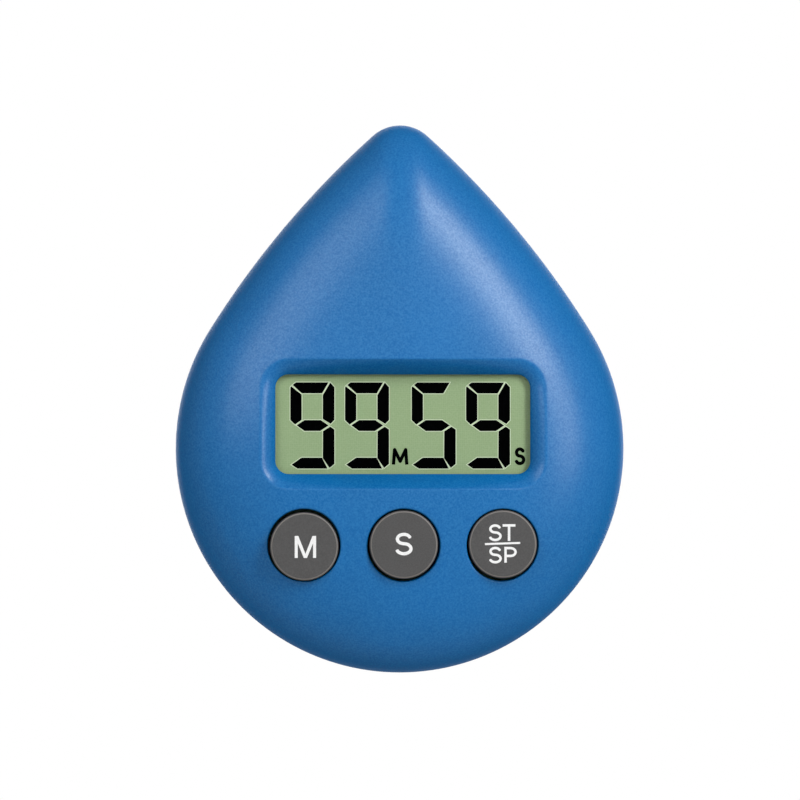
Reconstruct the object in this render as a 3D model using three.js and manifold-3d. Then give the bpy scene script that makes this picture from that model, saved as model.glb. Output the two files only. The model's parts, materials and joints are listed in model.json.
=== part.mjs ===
// Drop-shaped countdown timer on a suction cup, in millimetres.
// Built lying on the wall: x to the right, y up to the tip, z from the wall to the viewer.
import * as THREE from 'three';
import { mergeVertices } from 'three/addons/utils/BufferGeometryUtils.js';
import Module from 'manifold-3d';

const wasm = await Module();
wasm.setup();

// Case outline seen from the front: a round, two long flanks and a tip
const bodyRadius = 37.5;
const flankRadius = 153;
const flankAngle = 32;
const tipRadius = 6.8;

// Case depths and walls
const cupHeight = 8;
const rearDepth = 9;
const frontDepth = 17;
const domeFullness = 2.8;
const wall = 2;
const rearEdgeRadius = 4.5;
const partGap = 0.1;
const seatGap = 0.1;
const tongueHeight = 1.5;
const tongueWidth = 1;
const tongueGap = 0.2;
const sealWidth = 0.8;
const sealHeight = 0.7;

// Window, bezel and lens
const windowWidth = 42;
const windowHeight = 16.4;
const windowCorner = 2.2;
const windowY = 3.65;
const bezelWidth = 2.4;
const bezelDepth = 3.4;
const bezelEase = 0.45;
const bezelEaseRise = 0.66;
const windowLip = 0.3;
const lensThickness = 0.8;
const lensOverlap = 1.4;
const pocketGap = 0.2;
const pocketWall = 1.2;
const pocketCorner = 1;

// LCD sandwich and its connector
const glassThickness = 0.7;
const glassMargin = 2;
const glassLedge = 1.8;
const ledgeCover = 0.6;
const glassCorner = 0.4;
const filmThickness = 0.2;
const filmInset = 0.5;
const zebraHeight = 6;
const zebraWidth = 1.4;
const zebraInset = 1.5;
const clampWall = 1;

// Buttons and the domes below them
const buttonRadius = 5.6;
const buttonPitch = 16.3;
const buttonDrop = 11.4;
const buttonProud = 0.7;
const buttonTravel = 1;
const buttonGap = 0.35;
const buttonEdge = 0.5;
const buttonSkin = 1.6;
const collarWall = 1.3;
const tabReach = 0.8;
const tabWidth = 3;
const tabThickness = 1;
const domeRadius = 4.4;
const domeSkin = 0.5;
const footWidth = 1.3;
const footHeight = 0.8;
const crownRadius = 2.4;
const crownHeight = 1.6;
const pillRadius = 1.5;
const pillThickness = 0.7;

// Board and the parts soldered to it
const boardThickness = 1.2;
const boardInset = 6.5;
const boardGap = 0.8;
const blobRadius = 5;
const blobHeight = 1.5;
const blobX = -10;
const crystalRadius = 1.05;
const crystalLength = 6;
const chipLength = 2;
const chipWidth = 1.25;
const chipX = 2;
const chipPitch = 3;
const capacitorHeight = 0.9;
const resistorHeight = 0.5;

// Screws
const screwRadius = 0.95;
const screwLength = 9;
const screwHeadRadius = 2;
const screwHeadHeight = 1.4;
const screwSink = 5;
const screwInset = 7.5;
const shoulderAngle = 40;
const boardScrewRadius = 0.8;
const boardScrewLength = 5;
const boardHeadRadius = 1.7;
const boardHeadHeight = 1.1;
const screwGap = 0.25;
const pilotGap = 0.1;
const pilotRun = 0.6;
const bossWall = 1.9;
const boardBossWall = 1.6;
const bossGap = 0.8;
const ribThickness = 1.2;

// Button cell, its contacts and the quarter-turn door
const cellRadius = 5.8;
const cellHeight = 5.4;
const cellCap = 0.8;
const cellEdge = 0.3;
const cellGap = 0.3;
const contactThickness = 0.3;
const contactWidth = 3.8;
const tailHeight = 1.8;
const clipInset = 0.35;
const clipBulge = 0.25;
const leafInset = 1;
const doorThickness = 2;
const doorLip = 0.3;
const doorGap = 0.3;
const doorEdge = 0.4;
const doorClear = 2.3;
const doorTurn = 45;
const skirtWall = 1.1;
const lugReach = 1.1;
const lugHeight = 1;
const lugAngle = 36;
const lugClear = 8;
const ringRadius = 0.42;
const ringGap = 0.05;
const wellWall = 1.4;
const wellFloor = 1.2;
const slotLength = 10;
const slotWidth = 1.8;
const slotDepth = 1;

// Sounder
const piezoRadius = 10;
const piezoThickness = 0.25;
const ceramicRadius = 7;
const soundHole = 0.7;
const piezoAngle = -40;
const piezoClear = 1.5;
const piezoLift = 1.2;

// Suction cup
const cupY = -3;
const cupRadius = 16.2;
const lipWidth = 1.4;
const lipEdge = 0.2;
const cupHollow = 3.8;
const hubRadius = 5;
const neckRadius = 2.6;
const headRadius = 4.4;
const headHeight = 2;
const neckGap = 0.3;

// Insulated leads
const leadRadius = 0.45;
const leadShift = 6;
const leadGap = 0.15;

// How far a cutting body runs past what it cuts
const over = 1;

// Levels along z
const backZ = cupHeight;
const partingZ = backZ + rearDepth;
const apexZ = partingZ + frontDepth;
const floorZ = apexZ - bezelDepth;
const ledgeZ = floorZ - windowLip;
const lensZ = ledgeZ - seatGap - lensThickness;
const polariserZ = lensZ - seatGap - filmThickness;
const frontGlassZ = polariserZ - seatGap - glassThickness;
const rearGlassZ = frontGlassZ - seatGap - glassThickness;
const reflectorZ = rearGlassZ - seatGap - filmThickness;
const boardFrontZ = frontGlassZ - 2 * seatGap - zebraHeight;
const boardBackZ = boardFrontZ - boardThickness;
const crownZ = boardFrontZ + buttonTravel + pillThickness + 3 * seatGap + crownHeight;
const tabZ = crownZ + seatGap;
const collarZ = tabZ + tabThickness + 2 * seatGap;
const rimZ = partingZ - partGap;
const innerBackZ = backZ + wall;

// Outline geometry shared by both halves
const flankTurn = THREE.MathUtils.degToRad(flankAngle);
const flankX = (flankRadius - bodyRadius) * Math.cos(flankTurn);
const flankY = (flankRadius - bodyRadius) * Math.sin(flankTurn);
const tipY = Math.sqrt((flankRadius - tipRadius) ** 2 - flankX ** 2) - flankY;
const tipTurn = Math.atan2(tipY + flankY, flankX);
const topY = tipY + tipRadius;

function arcPoints(x, y, radius, from, to, steps) {
  return Array.from({ length: steps }, (_, i) => {
    const turn = from + (to - from) * i / steps;
    return new THREE.Vector2(x + radius * Math.cos(turn), y + radius * Math.sin(turn));
  });
}

// Case outline moved inwards by an inset, counter-clockwise
function dropPoints(inset = 0) {
  const left = Math.PI - flankTurn;
  const right = 2 * Math.PI + flankTurn;
  const leftTip = Math.PI - tipTurn;
  return [
    ...arcPoints(0, 0, bodyRadius - inset, left, right, 30),
    ...arcPoints(-flankX, -flankY, flankRadius - inset, flankTurn, tipTurn, 5),
    ...arcPoints(0, tipY, tipRadius - inset, tipTurn, leftTip, 8),
    ...arcPoints(flankX, -flankY, flankRadius - inset, leftTip, left, 5),
  ];
}

// Where a ray from the body's centre leaves a circle that it starts in
function reachOfCircle(along, x, y, radius) {
  const nearest = along.x * x + along.y * y;
  return nearest + Math.sqrt(nearest ** 2 - x * x - y * y + radius ** 2);
}

// Distance from the body's centre to the outline, in the direction of a point
function outlineReach(x, y) {
  const along = new THREE.Vector2(Math.abs(x), y).normalize();
  const meetX = tipRadius * Math.cos(tipTurn);
  const meetY = tipY + tipRadius * Math.sin(tipTurn);
  if (along.angle() <= flankTurn || y <= 0) return bodyRadius;
  if (along.angle() < Math.atan2(meetY, meetX)) {
    return reachOfCircle(along, -flankX, -flankY, flankRadius);
  }
  return reachOfCircle(along, 0, tipY, tipRadius);
}

// Height of the front's outer face
function faceZ(x, y) {
  const share = Math.min(Math.hypot(x, y) / outlineReach(x, y), 1);
  return partingZ + frontDepth * (1 - share ** domeFullness) ** (1 / domeFullness);
}

// Closed body through rings of points, each ring closed by a fan
function loft(rings, top = null) {
  const count = rings[0].length;
  const centre = (ring) => {
    const sum = ring.reduce((total, point) => total.add(point), new THREE.Vector3());
    return sum.divideScalar(count);
  };
  const points = rings.flat();
  points.push(centre(rings[0]), top ?? centre(rings.at(-1)));
  const index = [];
  const last = count * (rings.length - 1);
  for (let j = 0; j < count; j++) {
    const next = (j + 1) % count;
    for (let low = 0; low < last; low += count) {
      const high = low + count;
      index.push(low + j, low + next, high + next, low + j, high + next, high + j);
    }
    index.push(next, j, points.length - 2, last + j, last + next, points.length - 1);
  }
  const geometry = new THREE.BufferGeometry().setFromPoints(points);
  geometry.setIndex(index);
  return geometry;
}

function ringAt(points, z) {
  return points.map((point) => new THREE.Vector3(point.x, point.y, z));
}

// Dome over the outline; each ring is the outline drawn smaller about the body's centre
function dome(inset, height, steps, start) {
  const outline = dropPoints(inset);
  const rings = start < partingZ ? [ringAt(outline, start)] : [];
  for (let i = 0; i < steps; i++) {
    const turn = Math.PI / 2 * (i / steps) ** 1.5;
    const share = Math.cos(turn) ** (2 / domeFullness);
    const rise = height * Math.sin(turn) ** (2 / domeFullness);
    rings.push(ringAt(outline.map((point) => point.clone().multiplyScalar(share)), partingZ + rise));
  }
  return loft(rings, new THREE.Vector3(0, 0, partingZ + height));
}

// Quarter-round edge as pairs of inset and level, from the flat back to the straight side
function edgeProfile(inset, z, radius, steps) {
  return Array.from({ length: steps + 1 }, (_, i) => {
    const turn = Math.PI / 2 * i / steps;
    return [inset + radius * (1 - Math.sin(turn)), z + radius * (1 - Math.cos(turn))];
  });
}

// Points of a rounded rectangle, with the same count for every size
function rectPoints(width, height, corner, y) {
  const points = [];
  const insideX = width / 2 - corner;
  const insideY = height / 2 - corner;
  const corners = [[1, 1], [-1, 1], [-1, -1], [1, -1]];
  corners.forEach(([sideX, sideY], i) => {
    const start = Math.PI / 2 * i;
    const centre = new THREE.Vector2(sideX * insideX, y + sideY * insideY);
    points.push(...arcPoints(centre.x, centre.y, corner, start, start + Math.PI / 2, 4));
    const outwards = new THREE.Vector2(Math.cos(start + Math.PI / 2), Math.sin(start + Math.PI / 2));
    const along = new THREE.Vector2(-outwards.y, outwards.x).multiplyScalar(2 * (i % 2 ? insideY : insideX));
    const from = centre.addScaledVector(outwards, corner);
    const steps = i % 2 ? 2 : 6;
    for (let j = 0; j < steps; j++) points.push(from.clone().addScaledVector(along, j / steps));
  });
  return points;
}

function roundedRect(width, height, corner, y) {
  const shape = new THREE.Shape();
  const insideX = width / 2 - corner;
  const low = y - height / 2 + corner;
  const high = y + height / 2 - corner;
  shape.absarc(insideX, high, corner, 0, Math.PI / 2, false);
  shape.absarc(-insideX, high, corner, Math.PI / 2, Math.PI, false);
  shape.absarc(-insideX, low, corner, Math.PI, Math.PI * 1.5, false);
  shape.absarc(insideX, low, corner, Math.PI * 1.5, Math.PI * 2, false);
  return shape;
}

function prism(shape, low, high, curveSegments = 2) {
  const options = { depth: high - low, bevelEnabled: false, curveSegments };
  return new THREE.ExtrudeGeometry(shape, options).translate(0, 0, low);
}

function plate(width, height, corner, y, low, high) {
  return prism(roundedRect(width, height, corner, y), low, high);
}

function disc(radius, low, high, x, y, sides = 16) {
  const geometry = new THREE.CylinderGeometry(radius, radius, high - low, sides);
  return geometry.rotateX(Math.PI / 2).translate(x, y, (low + high) / 2);
}

function block(width, height, low, high, x, y, turn = 0) {
  const geometry = new THREE.BoxGeometry(width, height, high - low);
  return geometry.rotateZ(turn).translate(x, y, (low + high) / 2);
}

// Turned body from pairs of radius and level, listed from below outwards and up
function turned(profile, sides, x, y) {
  const points = profile.map(([radius, level]) => new THREE.Vector2(radius, level));
  return new THREE.LatheGeometry(points, sides).rotateX(Math.PI / 2).translate(x, y, 0);
}

function body(geometry) {
  const bare = geometry.clone();
  bare.deleteAttribute('normal');
  bare.deleteAttribute('uv');
  const welded = mergeVertices(bare, 1e-4);
  const corners = welded.index.array;
  const triangles = [];
  for (let i = 0; i < corners.length; i += 3) {
    const [a, b, c] = corners.slice(i, i + 3);
    if (a !== b && b !== c && c !== a) triangles.push(a, b, c);
  }
  return new wasm.Manifold(new wasm.Mesh({
    numProp: 3,
    vertProperties: new Float32Array(welded.attributes.position.array),
    triVerts: new Uint32Array(triangles),
  }));
}

function joined(geometries) {
  return wasm.Manifold.union(geometries.map(body));
}

function geometryOf(solid) {
  const mesh = solid.getMesh();
  const geometry = new THREE.BufferGeometry();
  geometry.setAttribute('position', new THREE.BufferAttribute(new Float32Array(mesh.vertProperties), 3));
  geometry.setIndex(new THREE.BufferAttribute(new Uint32Array(mesh.triVerts), 1));
  return geometry;
}

// Group that stands the timer upright with the cup's lip centre at the origin
const timer = new THREE.Group();
timer.name = 'countdown_timer';
timer.rotation.x = Math.PI / 2;
timer.position.z = -cupY;

const finishes = {
  bluePlastic: { color: '#1b6cb4', roughness: 0.5, metalness: 0 },
  greyRubber: { color: '#565656', roughness: 0.7, metalness: 0 },
  blackRubber: { color: '#1b1b1d', roughness: 0.8, metalness: 0 },
  silicone: { color: '#c9ccc8', roughness: 0.6, metalness: 0 },
  clearPlastic: { color: '#e9f0ee', roughness: 0.05, metalness: 0 },
  lcdFilm: { color: '#90a97f', roughness: 0.35, metalness: 0 },
  glass: { color: '#dfe8df', roughness: 0.05, metalness: 0 },
  whitePlastic: { color: '#e4e4df', roughness: 0.5, metalness: 0 },
  board: { color: '#1f6a3c', roughness: 0.45, metalness: 0 },
  blackResin: { color: '#131315', roughness: 0.4, metalness: 0 },
  ceramicWhite: { color: '#d8d2c4', roughness: 0.6, metalness: 0 },
  steel: { color: '#b9bcc0', roughness: 0.3, metalness: 1 },
  brass: { color: '#c9a554', roughness: 0.35, metalness: 1 },
  clearRubber: { color: '#cfd6d8', roughness: 0.35, metalness: 0 },
  redWire: { color: '#b3262a', roughness: 0.5, metalness: 0 },
  blackWire: { color: '#1a1a1a', roughness: 0.5, metalness: 0 },
};

function add(name, geometry, finish) {
  const mesh = new THREE.Mesh(geometry, new THREE.MeshStandardMaterial(finishes[finish]));
  mesh.name = name;
  timer.add(mesh);
}

// LCD and button places
const glassWidth = windowWidth + 2 * glassMargin;
const glassTop = windowY + windowHeight / 2 + glassMargin;
const glassBottom = windowY - windowHeight / 2 - ledgeCover - glassLedge;
const glassHeight = glassTop - glassBottom;
const glassY = (glassTop + glassBottom) / 2;
const buttonY = windowY - windowHeight / 2 - buttonDrop;
const holeRadius = buttonRadius + buttonGap;
const tabRadius = buttonRadius + tabReach;
const buttons = [
  { name: 'minute', x: -buttonPitch },
  { name: 'second', x: 0 },
  { name: 'start_stop', x: buttonPitch },
];

// Case screws: two shoulders, the bottom and the tip
const bossRadius = screwRadius + bossWall;
const caseSeatZ = backZ + screwSink;
const shoulderTurn = THREE.MathUtils.degToRad(shoulderAngle);
const shoulderX = Math.cos(shoulderTurn);
const shoulderY = Math.sin(shoulderTurn);
const shoulderReach = outlineReach(shoulderX, shoulderY) - screwInset;
const tipScrewY = topY - screwInset - tipRadius;
const caseScrews = [
  [-shoulderReach * shoulderX, shoulderReach * shoulderY],
  [shoulderReach * shoulderX, shoulderReach * shoulderY],
  [0, screwInset - bodyRadius],
  [0, tipScrewY],
];

// Board screws: one pair between the buttons, one pair above the LCD
const boardBossRadius = boardScrewRadius + boardBossWall;
const boardBossReach = tabRadius + boardBossRadius + bossGap;
const boardDrop = Math.sqrt(Math.max(0, boardBossReach ** 2 - (buttonPitch / 2) ** 2));
const lowerBossY = buttonY - boardDrop;
const upperBossX = windowWidth * 0.32;
const upperBossY = glassTop + pocketGap + pocketWall + boardBossRadius + bossGap;
const boardScrews = [
  [-buttonPitch / 2, lowerBossY],
  [buttonPitch / 2, lowerBossY],
  [-upperBossX, upperBossY],
  [upperBossX, upperBossY],
];

// Battery well, from its axis outwards and from the back inwards
const pocketRadius = cellRadius + cellGap;
const skirtRadius = pocketRadius + skirtWall;
const lugRadius = skirtRadius + lugReach;
const doorRadius = lugRadius + doorLip;
const tubRadius = doorRadius + doorGap + wellWall;
const doorY = tipScrewY - bossRadius - doorClear - tubRadius;
const doorInnerZ = backZ + doorThickness;
const shelfZ = doorInnerZ + 2 * ringRadius + 2 * seatGap;
const lugZ = shelfZ + lugHeight + 2 * seatGap;
const skirtZ = lugZ + lugHeight;
const undercutZ = skirtZ + doorGap;
const cellZ = doorInnerZ + doorGap;
const cellTopZ = cellZ + cellHeight;
const leafZ = cellTopZ + 2 * seatGap;
const wellFloorZ = leafZ + contactThickness + 2 * seatGap;
const wellTopZ = wellFloorZ + wellFloor;
const tailZ = wellTopZ + tailHeight;
const leafX = pocketRadius - leafInset;
const clipX = pocketRadius + clipInset;

// Sounder place
const piezoTurn = THREE.MathUtils.degToRad(piezoAngle);
const piezoReach = bodyRadius - rearEdgeRadius - piezoRadius - piezoClear;
const piezoX = piezoReach * Math.cos(piezoTurn);
const piezoY = piezoReach * Math.sin(piezoTurn);
const piezoSeatZ = innerBackZ + piezoLift;

// Front shell: dome, sloped bezel, LCD pocket, button collars and bosses
function frontShell() {
  const pocketRoom = pocketGap + pocketWall;
  const kept = [plate(
    glassWidth + 2 * pocketRoom, glassHeight + 2 * pocketRoom, pocketCorner + pocketWall,
    glassY, reflectorZ, apexZ,
  )];
  const gone = [];
  for (const { x } of buttons) {
    kept.push(disc(holeRadius + collarWall, collarZ, apexZ, x, buttonY, 24));
    gone.push(disc(tabRadius + buttonGap, boardFrontZ, collarZ, x, buttonY, 24));
    gone.push(disc(holeRadius, boardFrontZ, apexZ + over, x, buttonY, 28));
  }
  const ribZ = partingZ + tongueHeight + 2 * tongueGap;
  const pilotZ = caseSeatZ + screwLength + pilotRun;
  for (const [x, y] of caseScrews) {
    const along = new THREE.Vector2(x, y).setLength(screwInset / 2);
    kept.push(disc(bossRadius, partingZ - over, apexZ, x, y));
    kept.push(block(screwInset, ribThickness, ribZ, apexZ, x + along.x, y + along.y, along.angle()));
    gone.push(disc(screwRadius + pilotGap, partingZ - over, pilotZ, x, y, 12));
  }
  const boardPilotZ = boardBackZ + boardScrewLength + pilotRun;
  for (const [x, y] of boardScrews) {
    kept.push(disc(boardBossRadius, boardFrontZ + seatGap, apexZ, x, y));
    gone.push(disc(boardScrewRadius + pilotGap, boardFrontZ, boardPilotZ, x, y, 12));
  }
  const cavity = body(dome(wall, frontDepth - wall, 6, partingZ - over)).subtract(joined(kept));
  const inner = rectPoints(windowWidth, windowHeight, windowCorner, windowY);
  const outer = rectPoints(
    windowWidth + 2 * bezelWidth, windowHeight + 2 * bezelWidth, windowCorner + bezelWidth, windowY,
  );
  // The slope is steep at the window and eases towards the face
  const edge = outer.map((point) => new THREE.Vector3(point.x, point.y, faceZ(point.x, point.y)));
  const ease = inner.map((point, i) => {
    const flat = point.clone().lerp(outer[i], bezelEase);
    return new THREE.Vector3(flat.x, flat.y, floorZ + bezelEaseRise * (edge[i].z - floorZ));
  });
  const bezel = loft([
    ringAt(inner, ledgeZ - windowLip / 2), ringAt(inner, floorZ), ease, edge, ringAt(outer, apexZ + over),
  ]);
  const lensRoom = lensOverlap + pocketGap;
  const lensPocket = plate(
    windowWidth + 2 * lensRoom, windowHeight + 2 * lensRoom, windowCorner + lensRoom,
    windowY, lensZ - over, ledgeZ,
  );
  const glassPocket = plate(
    glassWidth + 2 * pocketGap, glassHeight + 2 * pocketGap, pocketCorner, glassY, reflectorZ - over, lensZ,
  );
  const removed = joined([bezel, lensPocket, glassPocket, ...gone]).add(cavity);
  return geometryOf(body(dome(0, frontDepth, 9, partingZ)).subtract(removed));
}
add('front_shell', frontShell(), 'bluePlastic');

// Window and LCD sandwich
add('window_lens', plate(
  windowWidth + 2 * lensOverlap, windowHeight + 2 * lensOverlap, windowCorner + lensOverlap,
  windowY, lensZ, lensZ + lensThickness,
), 'clearPlastic');
const rearGlassHeight = glassHeight - glassLedge;
const rearGlassY = glassY + glassLedge / 2;
const filmWidth = glassWidth - 2 * filmInset;
const filmHeight = rearGlassHeight - 2 * filmInset;
add('lcd_front_polariser', plate(
  filmWidth, filmHeight, glassCorner, rearGlassY, polariserZ, polariserZ + filmThickness,
), 'lcdFilm');
add('lcd_front_glass', plate(
  glassWidth, glassHeight, glassCorner, glassY, frontGlassZ, frontGlassZ + glassThickness,
), 'glass');
add('lcd_rear_glass', plate(
  glassWidth, rearGlassHeight, glassCorner, rearGlassY, rearGlassZ, rearGlassZ + glassThickness,
), 'glass');
add('lcd_reflector', plate(
  filmWidth, filmHeight, glassCorner, rearGlassY, reflectorZ, reflectorZ + filmThickness,
), 'lcdFilm');

// Clamp that presses the LCD into its pocket, with a slot for the connector strip
const zebraY = glassBottom + glassLedge / 2;
const zebraLength = glassWidth - 2 * zebraInset;
function lcdClamp() {
  const slotHeight = zebraWidth + 2 * pocketGap;
  const low = zebraY - slotHeight / 2 - clampWall;
  const openLow = zebraY + slotHeight / 2 + clampWall;
  const openHigh = glassTop - 2 * clampWall;
  const openWidth = glassWidth - 6 * clampWall;
  const shape = roundedRect(glassWidth, glassTop - low, pocketCorner, (low + glassTop) / 2);
  shape.holes.push(
    roundedRect(zebraLength + 2 * pocketGap, slotHeight, glassCorner, zebraY),
    roundedRect(openWidth, openHigh - openLow, pocketCorner, (openLow + openHigh) / 2),
  );
  return prism(shape, boardFrontZ + seatGap, reflectorZ - seatGap);
}
add('lcd_clamp', lcdClamp(), 'whitePlastic');
add('zebra_strip', block(
  zebraLength, zebraWidth, boardFrontZ + seatGap, frontGlassZ - seatGap, 0, zebraY,
), 'blackRubber');

// Button cap: hollow, with a plunger and two retaining tabs
function buttonCap(x) {
  const face = faceZ(x, buttonY) + buttonProud;
  const hollow = buttonRadius - buttonSkin;
  const under = face - buttonSkin;
  const flat = buttonRadius - buttonEdge;
  const edge = arcPoints(flat, face - buttonEdge, buttonEdge, 0, Math.PI / 2, 2);
  const cap = turned([
    [0, tabZ], [crownRadius, tabZ], [crownRadius, under], [hollow, under], [hollow, tabZ],
    [buttonRadius, tabZ], ...edge.map((point) => [point.x, point.y]), [flat, face], [0, face],
  ], 22, x, buttonY);
  const reach = tabRadius - hollow - buttonSkin / 2;
  const tabs = [-1, 1].map((side) => block(
    reach, tabWidth, tabZ, tabZ + tabThickness, x + side * (tabRadius - reach / 2), buttonY,
  ));
  return geometryOf(joined([cap, ...tabs]));
}

// Silicone dome: foot ring, thin cone and solid crown
function buttonDome(x) {
  const foot = boardFrontZ + seatGap;
  const roof = crownZ - crownHeight;
  const inside = domeRadius - footWidth;
  return turned([
    [0, roof], [crownRadius - domeSkin, roof], [inside, foot + footHeight], [inside, foot],
    [domeRadius, foot], [domeRadius, foot + footHeight], [inside + domeSkin, foot + footHeight],
    [crownRadius, roof + domeSkin], [crownRadius, crownZ], [0, crownZ],
  ], 16, x, buttonY);
}

for (const { name, x } of buttons) {
  const pillZ = boardFrontZ + buttonTravel + seatGap;
  add(`${name}_button`, buttonCap(x), 'greyRubber');
  add(`${name}_dome`, buttonDome(x), 'silicone');
  add(`${name}_pill`, disc(pillRadius, pillZ, pillZ + pillThickness, x, buttonY, 12), 'blackRubber');
}

// Board: follows the case, with notches round the screw posts and the battery well
function mainBoard() {
  const boardTop = upperBossY + boardBossRadius;
  const low = boardBackZ - over;
  const high = boardFrontZ + over;
  const span = 2 * bodyRadius;
  const outline = dropPoints(boardInset).filter((point) => point.y < tipScrewY);
  const tools = [
    block(span, span, low, high, 0, boardTop + span / 2),
    disc(tubRadius + boardGap, low, high, 0, doorY, 24),
  ];
  for (const [x, y] of caseScrews) tools.push(disc(bossRadius + boardGap, low, high, x, y, 12));
  for (const [x, y] of boardScrews) tools.push(disc(boardScrewRadius + screwGap, low, high, x, y, 12));
  return geometryOf(body(prism(new THREE.Shape(outline), boardBackZ, boardFrontZ)).subtract(joined(tools)));
}
add('main_pcb', mainBoard(), 'board');

// Parts soldered to the back of the board
const mountedZ = boardBackZ - seatGap;
const blobArc = arcPoints(0, 0, 1, -Math.PI / 2, 0, 4);
add('chip_blob', turned([
  ...blobArc.map((point) => [point.x * blobRadius, mountedZ + point.y * blobHeight]),
  [blobRadius, mountedZ], [0, mountedZ],
], 16, blobX, glassY), 'blackResin');
const crystal = new THREE.CylinderGeometry(crystalRadius, crystalRadius, crystalLength, 12);
crystal.rotateZ(Math.PI / 2).translate(blobX, glassY - 2 * blobRadius, mountedZ - crystalRadius);
add('crystal_can', crystal, 'steel');
const chips = [
  ['chip_capacitor_1', capacitorHeight, 'ceramicWhite'],
  ['chip_capacitor_2', capacitorHeight, 'ceramicWhite'],
  ['chip_resistor', resistorHeight, 'blackResin'],
];
chips.forEach(([name, height, finish], i) => {
  const y = glassY + chipPitch * (1 - i);
  add(name, block(chipLength, chipWidth, mountedZ - height, mountedZ, chipX, y), finish);
});

// Screws with a cross recess, driven from the back
function screw(x, y, seatZ, radius, length, headRadius, headHeight) {
  const low = seatZ - headHeight;
  const end = seatZ + length;
  const shaft = turned([
    [0, low], [headRadius * 0.75, low], [headRadius, low + headHeight * 0.4], [headRadius, seatZ],
    [radius, seatZ], [radius, end - radius], [radius * 0.3, end], [0, end],
  ], 10, x, y);
  const arm = headRadius * 1.1;
  const slit = arm * 0.28;
  const deep = low + headHeight * 0.55;
  const recess = joined([
    block(arm, slit, low - over, deep, x, y), block(slit, arm, low - over, deep, x, y),
  ]);
  return geometryOf(body(shaft).subtract(recess));
}
caseScrews.forEach(([x, y], i) => {
  const seat = caseSeatZ - seatGap;
  const geometry = screw(x, y, seat, screwRadius, screwLength, screwHeadRadius, screwHeadHeight);
  add(`case_screw_${i + 1}`, geometry, 'steel');
});
boardScrews.forEach(([x, y], i) => {
  const geometry = screw(
    x, y, mountedZ, boardScrewRadius, boardScrewLength, boardHeadRadius, boardHeadHeight,
  );
  add(`pcb_screw_${i + 1}`, geometry, 'steel');
});

// Ring sector between two radii, about the door's centre
function sector(inside, outside, middle, width, low, high) {
  const from = THREE.MathUtils.degToRad(middle - width / 2);
  const to = THREE.MathUtils.degToRad(middle + width / 2);
  const shape = new THREE.Shape();
  shape.absarc(0, 0, outside, from, to, false);
  shape.absarc(0, 0, inside, to, from, true);
  return prism(shape, low, high, 3).translate(0, doorY, 0);
}

// Rear cover: swept wall with seal groove and tongue, posts, battery well and sounder ring
function rearCover() {
  const tongueOuter = wall + tongueGap;
  const tongueInner = tongueOuter + tongueWidth;
  const tongueZ = partingZ + tongueHeight;
  const grooveOuter = (wall - sealWidth) / 2 - seatGap;
  const grooveInner = (wall + sealWidth) / 2 + seatGap;
  const grooveZ = rimZ - sealHeight - seatGap;
  const profile = [
    ...edgeProfile(0, backZ, rearEdgeRadius, 3),
    [0, rimZ], [grooveOuter, rimZ], [grooveOuter, grooveZ], [grooveInner, grooveZ], [grooveInner, rimZ],
    [tongueOuter, rimZ], [tongueOuter, tongueZ], [tongueInner, tongueZ],
    [tongueInner, rimZ - tongueWidth], [wall, rimZ - tongueWidth - tongueInner + wall],
    ...edgeProfile(wall, innerBackZ, rearEdgeRadius - wall, 2).reverse(),
  ];
  const added = [loft(profile.map(([inset, z]) => ringAt(dropPoints(inset), z)))];
  const gone = [];
  const rootZ = backZ + wall / 2;
  const outZ = backZ - over;
  const postZ = rimZ - seatGap;
  const headRoom = screwHeadRadius + screwGap;
  for (const [x, y] of caseScrews) {
    added.push(disc(headRoom + bossWall / 2, rootZ, caseSeatZ + bossWall, x, y));
    added.push(disc(bossRadius, rootZ, postZ, x, y));
    gone.push(disc(headRoom, outZ, caseSeatZ, x, y));
    gone.push(disc(screwRadius + screwGap, backZ, postZ + over, x, y, 12));
  }
  const lugRoom = lugRadius + doorGap;
  added.push(disc(tubRadius, rootZ, undercutZ + wellFloor, 0, doorY, 24));
  added.push(disc(pocketRadius + wellWall, rootZ, wellTopZ, 0, doorY, 24));
  gone.push(disc(doorRadius + doorGap, outZ, shelfZ, 0, doorY, 28));
  gone.push(disc(skirtRadius + doorGap, backZ, undercutZ, 0, doorY, 24));
  gone.push(disc(lugRoom, lugZ - seatGap, undercutZ, 0, doorY, 24));
  gone.push(disc(pocketRadius, backZ, wellFloorZ, 0, doorY, 24));
  for (const middle of [0, 180]) {
    gone.push(sector(skirtRadius - skirtWall, lugRoom, middle, lugAngle + lugClear, backZ, undercutZ));
  }
  const slotSpan = contactWidth + 2 * pocketGap;
  const slotRoom = 3 * contactThickness;
  gone.push(block(slotRoom, slotSpan, undercutZ - pocketGap, wellTopZ + over, clipX, doorY));
  gone.push(block(slotRoom, slotSpan, leafZ, wellTopZ + over, -leafX, doorY));
  const piezoRoom = piezoRadius + pocketGap;
  added.push(disc(piezoRoom + wall / 2, rootZ, piezoSeatZ + wall / 2, piezoX, piezoY, 24));
  gone.push(disc(piezoRoom, piezoSeatZ, piezoSeatZ + wall, piezoX, piezoY, 24));
  gone.push(disc(piezoRadius - wall / 2, innerBackZ, piezoSeatZ + wall, piezoX, piezoY, 24));
  for (let i = 0; i < 5; i++) {
    const out = i ? 4 * soundHole : 0;
    const x = piezoX + out * Math.cos(Math.PI / 2 * i);
    const y = piezoY + out * Math.sin(Math.PI / 2 * i);
    gone.push(disc(soundHole, outZ, innerBackZ + over, x, y, 8));
  }
  gone.push(disc(neckRadius + neckGap, outZ, innerBackZ + over, 0, cupY));
  return geometryOf(joined(added).subtract(joined(gone)));
}
add('rear_cover', rearCover(), 'bluePlastic');
const sealShape = new THREE.Shape(dropPoints((wall - sealWidth) / 2));
sealShape.holes.push(new THREE.Path(dropPoints((wall + sealWidth) / 2)));
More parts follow.
